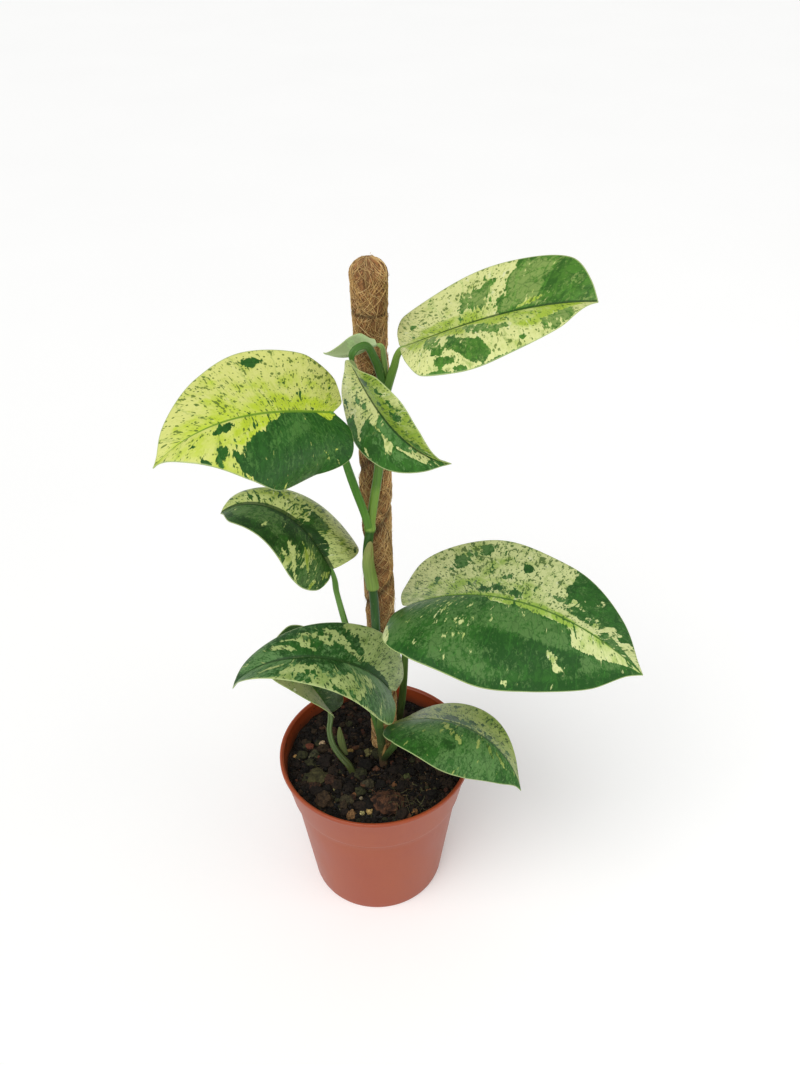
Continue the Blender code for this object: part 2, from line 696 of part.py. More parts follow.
def build_blade(blade, parts):
    """Loft a leaf blade between its margins, and thicken it."""
    rows = np.array([0, 0.06, 0.12, 0.19, 0.27, 0.35, 0.43, 0.51, 0.59, 0.67, 0.75, 0.82, 0.88, 0.94, 1.0])
    columns = np.array([-1, -0.74, -0.46, -0.2, 0, 0.2, 0.46, 0.74, 1.0])
    grid = blade_points(blade, rows, columns)
    work = bmesh.new()
    base = work.verts.new(grid[0, 0] * MM)
    tip = work.verts.new(grid[-1, 0] * MM)
    lines = [[work.verts.new(point * MM) for point in row] for row in grid[1:-1]]
    for left, right in zip(lines[0], lines[0][1:]):
        work.faces.new((base, right, left))
    for near, far in zip(lines, lines[1:]):
        for index in range(len(near) - 1):
            work.faces.new((near[index], near[index + 1], far[index + 1]))
            work.faces.new((near[index], far[index + 1], far[index]))
    for left, right in zip(lines[-1], lines[-1][1:]):
        work.faces.new((left, right, tip))
    mesh = bpy.data.meshes.new(blade.name)
    work.to_mesh(mesh)
    work.free()
    thing = link(blade.name, mesh, parts, LEAF_GREENS[blade.name])
    solidify = thing.modifiers.new("thickness", "SOLIDIFY")
    solidify.thickness = BLADE_THICKNESS * MM
    solidify.offset = 0.0
    smooth(thing, 50.0)
    return thing


def vine_point(height):
    """Return the vine's middle at a height, in millimetres."""
    points = through(VINE_ROUTE, 2.0)
    return Vector([float(np.interp(height, points[:, 2], points[:, axis])) for axis in range(3)])


def build_climbing_shoot(parts):
    """Fuse the vine, its nodes, its bud and its seven petioles into one shoot."""
    radii = (STEM_RADIUS, STEM_RADIUS, STEM_RADIUS - 0.2)
    pieces = [tube("climbing_shoot", rooted(VINE_ROUTE), radii, parts)]
    for index, height in enumerate(NODE_HEIGHTS):
        pieces.append(ball(f"node_{index}", vine_point(height), (3.2, 3.1, 3.4), parts))
    pieces.append(tube("bud", BUD_ROUTE, (1.6, 1.4, 0.5), parts, 3.0))
    for name, route in PETIOLE_ROUTES.items():
        slim = 0.75 if name == "leaf_young" else 1.0
        radii = (PETIOLE_RADIUS * slim, PETIOLE_RADIUS * slim, 1.5 * slim, 1.1 * slim)
        pieces.append(tube(f"petiole_{name}", route, radii, parts))
    return unite("climbing_shoot", pieces, parts, STEM_GREEN)


def build_single_shoot(name, route, radius, parts):
    """Build a shoot that is one petiole from the soil to its leaf."""
    shoot = tube(name, rooted(route), (radius, radius, radius - 0.3, 1.6, 1.1), parts)
    shoot.data.materials.append(principled(STEM_GREEN))
    smooth(shoot, 55.0)


def sheath(name, lines, parts):
    """Loft a thin open sheath through rows of points, and thicken it outwards."""
    work = bmesh.new()
    rings = [[work.verts.new(Vector(point) * MM) for point in line] for line in lines]
    for near, far in zip(rings, rings[1:]):
        for index in range(len(near) - 1):
            work.faces.new((near[index], near[index + 1], far[index + 1]))
            work.faces.new((near[index], far[index + 1], far[index]))
    mesh = bpy.data.meshes.new(name)
    work.to_mesh(mesh)
    work.free()
    thing = link(name, mesh, parts, SHEATH_GREEN)
    solidify = thing.modifiers.new("thickness", "SOLIDIFY")
    solidify.thickness = SHEATH_THICKNESS * MM
    solidify.offset = 0.0
    smooth(thing, 50.0)
    return thing


def build_sheaths(parts):
    """Build the sheath clasping the vine's right side, and the small one beside the left shoot."""
    low, high = STEM_SHEATH_SPAN
    lines = []
    for share in np.linspace(0.0, 1.0, 9):
        centre = vine_point(low + (high - low) * share)
        half = math.radians(100.0 * (1.0 - share) ** 0.6 + 8.0)
        middle = math.radians(-62.0 - 18.0 * share)
        angles = np.linspace(middle - half, middle + half, 7)
        lines.append([centre + Vector((math.cos(a), math.sin(a), 0)) * STEM_SHEATH_RADIUS for a in angles])
    sheath("stem_sheath", lines, parts)
    spine = through(LEFT_SHEATH_ROUTE, 3.0)
    lines = []
    for share, point in zip(np.linspace(0.0, 1.0, len(spine)), spine):
        half = 0.5 * LEFT_SHEATH_WIDTH * math.sin(math.pi * (0.18 + 0.78 * share)) + 0.15
        cup = 0.35 * half
        across = [Vector((half * place, cup * place**2, 0)) for place in (-1, -0.5, 0, 0.5, 1)]
        lines.append([Vector(point) + step for step in across])
    sheath("left_sheath", lines, parts)


def main():
    """Build the potted plant."""
    clear_scene()
    parts = new_collection("potted_satin_pothos")
    cutters = new_collection("cutters")
    build_pot(parts, cutters)
    build_soil(parts, cutters)
    build_pole(parts, cutters)
    build_climbing_shoot(parts)
    build_single_shoot("right_shoot", RIGHT_ROUTE, PETIOLE_RADIUS + 0.3, parts)
    build_single_shoot("left_shoot", LEFT_ROUTE, PETIOLE_RADIUS + 0.1, parts)
    build_sheaths(parts)
    for blade in BLADES:
        build_blade(blade, parts)


main()
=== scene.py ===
"""Looks of a potted satin pothos on a coir pole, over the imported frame.

Lengths are in millimetres and meshes are written in metres. The origin is the middle of the pot's flat
underside, +Z is up, and the photograph looks along +Y. Shares run from 0 to 1.
"""

import logging
import math
import random
from dataclasses import dataclass
from enum import Enum

import bmesh
import bpy
import numpy as np
from mathutils import Matrix, Vector, noise


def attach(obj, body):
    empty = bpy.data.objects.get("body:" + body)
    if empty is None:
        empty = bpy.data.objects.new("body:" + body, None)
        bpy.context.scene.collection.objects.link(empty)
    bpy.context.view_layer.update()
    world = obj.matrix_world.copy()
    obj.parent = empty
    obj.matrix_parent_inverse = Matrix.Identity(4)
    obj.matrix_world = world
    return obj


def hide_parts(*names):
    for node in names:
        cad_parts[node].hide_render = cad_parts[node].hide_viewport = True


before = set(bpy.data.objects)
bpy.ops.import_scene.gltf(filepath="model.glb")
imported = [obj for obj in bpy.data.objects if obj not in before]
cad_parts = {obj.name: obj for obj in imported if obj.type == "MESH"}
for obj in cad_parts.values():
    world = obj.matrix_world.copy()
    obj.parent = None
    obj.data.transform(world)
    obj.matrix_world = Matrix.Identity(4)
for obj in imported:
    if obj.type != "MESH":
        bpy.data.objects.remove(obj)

LOG = logging.getLogger("satin_pothos")
MM = 0.001
UP = np.array([0.0, 0.0, 1.0])


def shade(red: float, green: float, blue: float) -> tuple[float, float, float]:
    """Return the linear colour of a screen colour given from 0 to 255."""
    parts = (value / 255.0 for value in (red, green, blue))
    return tuple(p / 12.92 if p <= 0.04045 else ((p + 0.055) / 1.055) ** 2.4 for p in parts)


class Blotch(Enum):
    """Markings of a blade, as (green, silver, lime, dark) shares."""

    CREAM = (0.03, 0.0, 0.0, 0.0)
    PALE = (0.07, 0.0, 0.45, 0.0)
    LIME = (0.05, 0.0, 1.0, 0.0)
    OLIVE = (0.34, 0.4, 0.6, 0.2)
    MARBLED = (0.52, 0.5, 0.4, 0.3)
    MOTTLED = (0.84, 0.6, 0.3, 0.3)
    GREEN = (0.97, 0.30, 0.2, 0.40)
    SILVER = (0.92, 1.0, 0.2, 0.0)
    DARK = (1.05, 0.0, 0.2, 1.0)


class Face(Enum):
    """The two faces of a blade, as material places on its mesh."""

    TOP = 0
    UNDER = 1


@dataclass(frozen=True)
class Mark:
    """One marking: a closed outline in blade shares (u along, v across), and how soft its border is."""

    blotch: Blotch
    outline: tuple
    soft: float = 2.2
    strength: float = 1.0


def spot(blotch: Blotch, u: float, v: float, long: float, wide: float, tilt: float = 0.0,
         soft: float = 1.2) -> Mark:
    """Return a round marking.

    Args:
        blotch: what it is coloured as.
        u: its middle along the blade.
        v: its middle across the blade.
        long: its half length across the blade, along the veins, in v.
        wide: its half width along the blade, in u.
        tilt: how far its outer end moves towards the tip, in u.
        soft: how soft its border is.

    Returns:
        The marking.
    """
    turns = [math.tau * index / 10 for index in range(10)]
    outline = tuple((u + wide * math.sin(turn) + tilt * abs(long) * math.cos(turn) * (1 if v > 0 else -1),
                     v + long * math.cos(turn)) for turn in turns)
    return Mark(blotch, outline, soft)


@dataclass(frozen=True)
class LeafFinish:
    """Colours of one blade, and its two procedural materials."""

    cream: tuple
    lime: tuple
    green: tuple
    dark: tuple
    silver: tuple
    speck: tuple = (84, 116, 50)
    rib: tuple = (86, 128, 46)
    margin: tuple = (176, 192, 128)
    bleach: tuple = (222, 226, 184)
    olive: tuple = (140, 162, 78)
    under_pale: tuple = (150, 164, 108)
    under_green: tuple = (92, 122, 74)
    roughness: float = 0.38
    vein_gap: float = 8.0
    rib_width: float = 0.8

    def cover(self, work: "Shader", flow: bpy.types.NodeSocket, green: bpy.types.NodeSocket,
              crisp: float) -> bpy.types.NodeSocket:
        """Return where green covers the cream, broken into flecks that follow the veins."""
        broad = work.ramp(work.noise(work.stretch(flow, (0.07, 0.34, 1.0)), 1.0, 4.0, 0.55), 0.32, 0.68)
        fine = work.ramp(work.noise(work.stretch(flow, (0.24, 0.80, 1.0)), 1.0, 4.0, 0.58, 0.4), 0.30, 0.70)
        veil = work.math("ADD", work.math("MULTIPLY", broad, 0.48), work.math("MULTIPLY", fine, 0.52))
        total = work.math("MULTIPLY_ADD", work.math("SUBTRACT", veil, 0.5), 1.15, green)
        return work.ramp(total, 0.5 - crisp, 0.5 + crisp)

    def top(self, name: str) -> bpy.types.Material:
        """Return the satin upper side: marbled green over cream, with a net of veins, dashes and a midrib."""
        work = Shader(name, self.roughness)
        flow = work.attribute("flow")
        green, silver, lime = work.channels(work.attribute("tone", "Color"))
        speckle, dark, edge = work.channels(work.attribute("marks", "Color"))
        across, along = work.coordinates(flow)
        cover = self.cover(work, flow, green, 0.07)
        fine = work.noise(work.stretch(flow, (0.40, 1.10, 1.0)), 1.0, 4.0, 0.7)
        cloud = work.noise(work.stretch(flow, (0.10, 0.15, 1.0)), 1.0, 5.0, 0.6)
        wash = work.noise(work.stretch(flow, (0.13, 0.40, 1.0)), 1.0, 4.0, 0.6, 0.8)
        glow = work.math("MULTIPLY_ADD", work.math("SUBTRACT", cloud, 0.5), 2.6, lime)
        pale = work.blend(work.ramp(glow, 0.0, 1.0), self.cream, self.lime)
        pale = work.blend(work.ramp(wash, 0.40, 0.30), pale, self.bleach, 0.6)
        pale = work.blend(work.ramp(wash, 0.55, 0.70), pale, self.olive, 0.55)
        pale = work.blend(work.ramp(fine, 0.52, 0.72), pale, work.tinted(self.lime, 0.86), 0.45)
        warped = work.warped(flow, 0.22, 2.4)
        cell = work.cell_tone(work.stretch(warped, (0.17, 0.30, 1.0)), 1.0)
        net = work.cells(work.stretch(warped, (0.17, 0.30, 1.0)), 1.0, "DISTANCE_TO_EDGE")
        blot = work.ramp(work.noise(work.stretch(flow, (0.17, 0.40, 1.0)), 1.0, 5.0, 0.72), 0.30, 0.70)
        deep = work.math("MULTIPLY_ADD", work.math("SUBTRACT", blot, 0.5), 1.0, dark)
        deep = work.math("MULTIPLY_ADD", work.math("SUBTRACT", cell, 0.5), 0.75, deep)
        solid = work.blend(work.ramp(deep, 0.0, 1.0), self.green, self.dark)
        dust = work.ramp(work.noise(work.stretch(flow, (0.42, 0.85, 1.0)), 1.0, 6.0, 0.75, 0.5), 0.32, 0.68)
        dust = work.math("MULTIPLY_ADD", work.math("SUBTRACT", dust, 0.5), 1.1, silver)
        dust = work.math("MULTIPLY_ADD", work.math("SUBTRACT", cloud, 0.5), 1.6, dust)
        dust = work.math("MULTIPLY_ADD", work.math("SUBTRACT", cell, 0.5), 0.35, dust)
        solid = work.blend(work.ramp(dust, 0.30, 1.00), solid, self.silver, 0.92)
        solid = work.blend(work.ramp(net, 0.06, 0.0), solid, work.tinted(self.dark, 1.0), 0.45)
        fleck = work.ramp(work.noise(work.stretch(flow, (0.50, 1.10, 1.0)), 1.0, 3.0, 0.6), 0.60, 0.72)
        solid = work.blend(fleck, solid, work.tinted(self.green, 1.45), 0.40)
        dash = work.noise(work.stretch(flow, (0.30, 1.15, 1.0)), 1.0, 2.0, 0.5)
        dash = work.math("MULTIPLY_ADD", work.math("SUBTRACT", cloud, 0.5), 0.55, dash)
        bar = work.math("MULTIPLY_ADD", speckle, -0.12, 0.725)
        dash = work.ramp(work.math("SUBTRACT", dash, bar), -0.01, 0.045)
        dots = work.dots(work.stretch(warped, (0.36, 0.72, 1.0)), work.math("MULTIPLY", speckle, 0.10))
        specks = work.dots(work.stretch(flow, (0.72, 1.20, 1.0)), work.math("MULTIPLY", speckle, 0.14))
        dash = work.math("MAXIMUM", dash, work.math("MAXIMUM", dots, specks))
        dash = work.math("MULTIPLY", dash, work.ramp(speckle, 0.02, 0.2))
        pale = work.blend(dash, pale, self.speck, 0.88)
        colour = work.blend(cover, pale, solid)
        bend = work.math("MULTIPLY_ADD", work.math("SUBTRACT", cloud, 0.5), 7.0, along)
        vein = work.ramp(work.math("PINGPONG", bend, self.vein_gap / 2), 0.40, 0.0)
        colour = work.blend(vein, colour, work.tinted(self.green, 1.35), 0.26)
        narrow = work.math("MULTIPLY_ADD", along, 0.55 / 90.0, work.math("ABSOLUTE", across))
        spine = work.ramp(narrow, self.rib_width + 0.35, self.rib_width - 0.25)
        colour = work.blend(spine, colour, self.rib, 0.88)
        colour = work.blend(work.ramp(edge, 0.050, 0.02), colour, self.margin, 0.8)
        grain = work.noise(flow, 1.6, 3.0, 0.6)
        colour = work.blend(work.ramp(cloud, 0.45, 0.75), colour, work.scaled(colour, 0.90))
        work.colour(colour)
        gloss = work.math("MULTIPLY_ADD", work.math("SUBTRACT", grain, 0.5), 0.25, self.roughness)
        work.roughness(gloss)
        work.surface.inputs["Specular IOR Level"].default_value = 0.17
        relief = work.math("MULTIPLY_ADD", vein, -0.35, work.math("MULTIPLY", work.ramp(net, 0.0, 0.12), 0.30))
        relief = work.math("ADD", relief, work.math("MULTIPLY", grain, 0.30))
        relief = work.math("ADD", relief, work.math("MULTIPLY", blot, 0.30))
        work.bump(relief, 0.45, 0.35)
        return work.material

    def under(self, name: str) -> bpy.types.Material:
        """Return the matt underside, greyer and paler than the top, with the veins standing out."""
        work = Shader(name, 0.62)
        flow = work.attribute("flow")
        green, silver, lime = work.channels(work.attribute("tone", "Color"))
        across, along = work.coordinates(flow)
        cover = self.cover(work, flow, green, 0.12)
        fine = work.noise(work.stretch(flow, (0.40, 1.10, 1.0)), 1.0, 4.0, 0.7)
        pale = work.blend(lime, self.under_pale, work.tinted(self.lime, 0.80), 0.35)
        pale = work.blend(work.ramp(fine, 0.60, 0.68), pale, self.under_green, 0.7)
        solid = work.blend(work.ramp(fine, 0.3, 0.7), self.under_green, work.tinted(self.under_green, 1.22))
        solid = work.blend(silver, solid, self.under_pale, 0.35)
        colour = work.blend(cover, pale, solid)
        vein = work.ramp(work.math("PINGPONG", along, self.vein_gap / 2), 0.7, 0.0)
        colour = work.blend(vein, colour, self.under_pale, 0.22)
        spine = work.ramp(work.math("ABSOLUTE", across), 1.3, 0.5)
        colour = work.blend(spine, colour, work.tinted(self.under_pale, 0.95), 0.75)
        work.colour(colour)
        work.surface.inputs["Specular IOR Level"].default_value = 0.2
        grain = work.noise(flow, 1.2, 3.0, 0.6)
        work.roughness(work.math("MULTIPLY_ADD", work.math("SUBTRACT", grain, 0.5), 0.25, 0.62))
        relief = work.math("ADD", work.math("MULTIPLY", vein, 0.6), work.math("MULTIPLY", grain, 0.35))
        work.bump(relief, 0.45, 0.35)
        return work.material


class Shader:
    """Builds one procedural material, node by node."""

    def __init__(self, name: str, roughness: float = 0.5) -> None:
        """Start a Principled material."""
        self.material = bpy.data.materials.new(name)
        self.material.use_nodes = True
        self.tree = self.material.node_tree
        self.surface = self.tree.nodes["Principled BSDF"]
        self.surface.inputs["Roughness"].default_value = roughness

    def node(self, kind: str, **settings: object) -> bpy.types.Node:
        """Return a new node with its settings."""
        made = self.tree.nodes.new(kind)
        for key, value in settings.items():
            setattr(made, key, value)
        return made

    def feed(self, socket: bpy.types.NodeSocket, value: object) -> None:
        """Link a socket, or set its number or colour (a screen colour from 0 to 255)."""
        if isinstance(value, bpy.types.NodeSocket):
            self.tree.links.new(value, socket)
        elif isinstance(value, tuple) and socket.type == "RGBA":
            socket.default_value = (*shade(*value), 1.0)
        else:
            socket.default_value = value

    def attribute(self, name: str, output: str = "Vector") -> bpy.types.NodeSocket:
        """Return a mesh attribute."""
        return self.node("ShaderNodeAttribute", attribute_name=name).outputs[output]

    def places(self) -> bpy.types.NodeSocket:
        """Return the piece's own coordinates in metres."""
        return self.node("ShaderNodeTexCoord").outputs["Object"]

    def channels(self, colour: bpy.types.NodeSocket) -> tuple:
        """Return the three channels of a colour."""
        split = self.node("ShaderNodeSeparateColor")
        self.feed(split.inputs[0], colour)
        return tuple(split.outputs[index] for index in range(3))

    def coordinates(self, vector: bpy.types.NodeSocket) -> tuple:
        """Return the first two parts of a vector."""
        split = self.node("ShaderNodeSeparateXYZ")
        self.feed(split.inputs[0], vector)
        return split.outputs[0], split.outputs[1]

    def height(self, vector: bpy.types.NodeSocket) -> bpy.types.NodeSocket:
        """Return the third part of a vector."""
        split = self.node("ShaderNodeSeparateXYZ")
        self.feed(split.inputs[0], vector)
        return split.outputs[2]

    def stretch(self, vector: bpy.types.NodeSocket, scale: tuple) -> bpy.types.NodeSocket:
        """Return a vector scaled along each axis."""
        mapping = self.node("ShaderNodeMapping")
        self.feed(mapping.inputs["Vector"], vector)
        mapping.inputs["Scale"].default_value = scale
        return mapping.outputs[0]

    def noise(self, vector: bpy.types.NodeSocket, scale: float, detail: float = 3.0,
              rough: float = 0.55, warp: float = 0.0) -> bpy.types.NodeSocket:
        """Return fractal noise around one half."""
        made = self.node("ShaderNodeTexNoise")
        self.feed(made.inputs["Vector"], vector)
        made.inputs["Scale"].default_value = scale
        made.inputs["Detail"].default_value = detail
        made.inputs["Roughness"].default_value = rough
        made.inputs["Distortion"].default_value = warp
        return made.outputs["Fac"]

    def cells(self, vector: bpy.types.NodeSocket, scale: float,
              feature: str = "F1") -> bpy.types.NodeSocket:
        """Return the distance of a cell pattern."""
        made = self.node("ShaderNodeTexVoronoi", feature=feature)
        self.feed(made.inputs["Vector"], vector)
        made.inputs["Scale"].default_value = scale
        return made.outputs["Distance"]

    def warped(self, vector: bpy.types.NodeSocket, scale: float, amount: float) -> bpy.types.NodeSocket:
        """Return a vector pushed about by noise, so that a pattern on it bends."""
        made = self.node("ShaderNodeTexNoise")
        self.feed(made.inputs["Vector"], vector)
        made.inputs["Scale"].default_value = scale
        made.inputs["Detail"].default_value = 3.0
        push = self.node("ShaderNodeVectorMath", operation="MULTIPLY_ADD")
        self.feed(push.inputs[0], made.outputs["Color"])
        push.inputs[1].default_value = (amount, amount, 0.0)
        self.feed(push.inputs[2], vector)
        return push.outputs[0]

    def dots(self, vector: bpy.types.NodeSocket, share: bpy.types.NodeSocket) -> bpy.types.NodeSocket:
        """Return small round dots in some cells of a pattern."""
        near = self.ramp(self.cells(vector, 1.0), 0.40, 0.28)
        chosen = self.ramp(self.math("ADD", self.cell_tone(vector, 1.0), share), 0.88, 0.92)
        return self.math("MULTIPLY", near, chosen)

    def cell_tone(self, vector: bpy.types.NodeSocket, scale: float) -> bpy.types.NodeSocket:
        """Return a number from 0 to 1 that is the same all over each cell of a pattern."""
        made = self.node("ShaderNodeTexVoronoi", feature="F1")
        self.feed(made.inputs["Vector"], vector)
        made.inputs["Scale"].default_value = scale
        return self.channels(made.outputs["Color"])[0]

    def math(self, operation: str, first: object, second: object = 0.0,
             third: object = 0.0) -> bpy.types.NodeSocket:
        """Return the result of a math node."""
        made = self.node("ShaderNodeMath", operation=operation)
        for socket, value in zip(made.inputs, (first, second, third)):
            self.feed(socket, value)
        return made.outputs[0]

    def ramp(self, value: object, low: float, high: float) -> bpy.types.NodeSocket:
        """Return a smooth step from low (0) to high (1); low may be the larger."""
        made = self.node("ShaderNodeMapRange", interpolation_type="SMOOTHSTEP")
        flipped = low > high
        self.feed(made.inputs["Value"], value)
        made.inputs["From Min"].default_value = min(low, high)
        made.inputs["From Max"].default_value = max(low, high)
        made.inputs["To Min"].default_value = 1.0 if flipped else 0.0
        made.inputs["To Max"].default_value = 0.0 if flipped else 1.0
        return made.outputs[0]

    def blend(self, share: object, low: object, high: object, most: float = 1.0,
              mode: str = "MIX") -> bpy.types.NodeSocket:
        """Return a mix of two colours, with the share scaled by most."""
        made = self.node("ShaderNodeMix", data_type="RGBA", blend_type=mode)
        if most != 1.0:
            share = self.math("MULTIPLY", share, most)
        self.feed(made.inputs[0], share)
        self.feed(made.inputs[6], low)
        self.feed(made.inputs[7], high)
        return made.outputs[2]

    def scaled(self, colour: bpy.types.NodeSocket, amount: float) -> bpy.types.NodeSocket:
        """Return a colour made brighter or darker."""
        made = self.node("ShaderNodeVectorMath", operation="SCALE")
        self.feed(made.inputs[0], colour)
        made.inputs["Scale"].default_value = amount
        return made.outputs[0]

    @staticmethod
    def tinted(colour: tuple, amount: float) -> tuple:
        """Return a screen colour made brighter or darker."""
        return tuple(min(255.0, value * amount) for value in colour)

    def colour(self, value: object) -> None:
        """Set the base colour."""
        self.feed(self.surface.inputs["Base Color"], value)

    def roughness(self, value: object) -> None:
        """Set the roughness."""
        self.feed(self.surface.inputs["Roughness"], value)

    def bump(self, height: bpy.types.NodeSocket, strength: float, depth: float) -> None:
        """Add relief with a depth in millimetres."""
        made = self.node("ShaderNodeBump")
        made.inputs["Strength"].default_value = strength
        made.inputs["Distance"].default_value = depth * MM
        self.feed(made.inputs["Height"], height)
        self.feed(self.surface.inputs["Normal"], made.outputs[0])


class MeshWork:
    """Collects the points and faces of one piece, with values for each point."""

    def __init__(self) -> None:
        """Start empty."""
        self.points: list = []
        self.faces: list = []
        self.places: list = []
        self.values: dict = {}
        self.count = 0

    def add(self, points: np.ndarray, faces: list, place: int = 0, **values: np.ndarray) -> None:
        """Add points in millimetres, faces between them, their material place and values for each point."""
        self.points.append(np.asarray(points, float).reshape(-1, 3))
        self.faces.extend(tuple(corner + self.count for corner in face) for face in faces)
        self.places.extend([place] * len(faces))
        for name, value in values.items():
            self.values.setdefault(name, []).append(np.asarray(value, float))
        self.count += len(self.points[-1])

    def piece(self, name: str, materials: list, smooth: bool = True) -> bpy.types.Object:
        """Return the finished object."""
        mesh = bpy.data.meshes.new(name)
        mesh.from_pydata((np.concatenate(self.points) * MM).tolist(), [], self.faces)
        for material in materials:
            mesh.materials.append(material)
        mesh.polygons.foreach_set("material_index", self.places)
        if smooth:
            mesh.shade_smooth()
        for key, rows in self.values.items():
            value = np.concatenate(rows)
            if value.shape[1] == 3 and key == "flow":
                layer = mesh.attributes.new(key, "FLOAT_VECTOR", "POINT")
                layer.data.foreach_set("vector", value.ravel())
            else:
                layer = mesh.attributes.new(key, "FLOAT_COLOR", "POINT")
                full = np.ones((len(value), 4))
                full[:, :value.shape[1]] = value
                layer.data.foreach_set("color", full.ravel())
        mesh.update()
        made = bpy.data.objects.new(name, mesh)
        bpy.context.scene.collection.objects.link(made)
        return made


def eased(places: tuple, values: tuple, wanted: np.ndarray) -> np.ndarray:
    """Return values on a smooth curve through the given points that never overshoots them."""
    places, values = np.asarray(places, float), np.asarray(values, float)
    wanted = np.asarray(wanted, float)
    gaps = np.diff(places)
    rates = np.diff(values) / gaps
    slopes = np.zeros_like(values)
    for index in range(1, len(values) - 1):
        before, after = rates[index - 1], rates[index]
        if before * after > 0.0:
            near, far = 2 * gaps[index] + gaps[index - 1], gaps[index] + 2 * gaps[index - 1]
            slopes[index] = (near + far) / (near / before + far / after)
    slopes[0], slopes[-1] = rates[0], rates[-1]
    span = np.clip(np.searchsorted(places, wanted) - 1, 0, len(gaps) - 1)
    share = (wanted - places[span]) / gaps[span]
    start, end = values[span], values[span + 1]
    bend = (2 * share**3 - 3 * share**2 + 1) * start + (3 * share**2 - 2 * share**3) * end
    lean = (share**3 - 2 * share**2 + share) * slopes[span]
    lean += (share**3 - share**2) * slopes[span + 1]
    return bend + lean * gaps[span]


def through(route: tuple, spacing: float) -> np.ndarray:
    """Return evenly spaced points on a smooth curve through a route's points."""
    route = np.asarray(route, float)
    steps = np.linalg.norm(np.diff(route, axis=0), axis=1)
    reach = np.concatenate([[0.0], np.cumsum(steps)])
    tangents = np.gradient(route, reach, axis=0)
    places = np.linspace(0.0, reach[-1], max(3, round(reach[-1] / spacing) + 1))
    span = np.clip(np.searchsorted(reach, places) - 1, 0, len(steps) - 1)
    share = ((places - reach[span]) / steps[span])[:, None]
    length = steps[span][:, None]
    bend = (2 * share**3 - 3 * share**2 + 1) * route[span]
    bend += (3 * share**2 - 2 * share**3) * route[span + 1]
    lean = (share**3 - 2 * share**2 + share) * tangents[span]
    lean += (share**3 - share**2) * tangents[span + 1]
    return bend + lean * length


def step_between(low: float, high: float, value: np.ndarray) -> np.ndarray:
    """Return a smooth step from low (0) to high (1)."""
    share = np.clip((value - low) / (high - low), 0.0, 1.0)
    return share * share * (3.0 - 2.0 * share)


def depth_inside(points: np.ndarray, corners: np.ndarray) -> np.ndarray:
    """Return how far each point lies inside a closed outline, negative where it is outside."""
    nearest = np.full(len(points), np.inf)
    inside = np.zeros(len(points), bool)
    for start, end in zip(corners, np.roll(corners, -1, axis=0)):
        edge = end - start
        reach = points - start
        share = np.clip(reach @ edge / max(edge @ edge, 1e-9), 0.0, 1.0)
        nearest = np.minimum(nearest, np.linalg.norm(reach - share[:, None] * edge, axis=1))
        if start[1] != end[1]:
            spans = (start[1] > points[:, 1]) != (end[1] > points[:, 1])
            at = start[0] + (points[:, 1] - start[1]) / edge[1] * edge[0]
            inside ^= spans & (points[:, 0] < at)
    return np.where(inside, nearest, -nearest)


def normalised(vectors: np.ndarray) -> np.ndarray:
    """Return vectors of length one."""
    return vectors / np.maximum(np.linalg.norm(vectors, axis=-1, keepdims=True), 1e-9)


def grid_faces(rows: int, columns: int, closed: bool = False) -> list:
    """Return the quads of a grid of points, joined round in the second direction if closed."""
    across = columns if closed else columns - 1
    return [(row * columns + column, row * columns + (column + 1) % columns,
             (row + 1) * columns + (column + 1) % columns, (row + 1) * columns + column)
            for row in range(rows - 1) for column in range(across)]


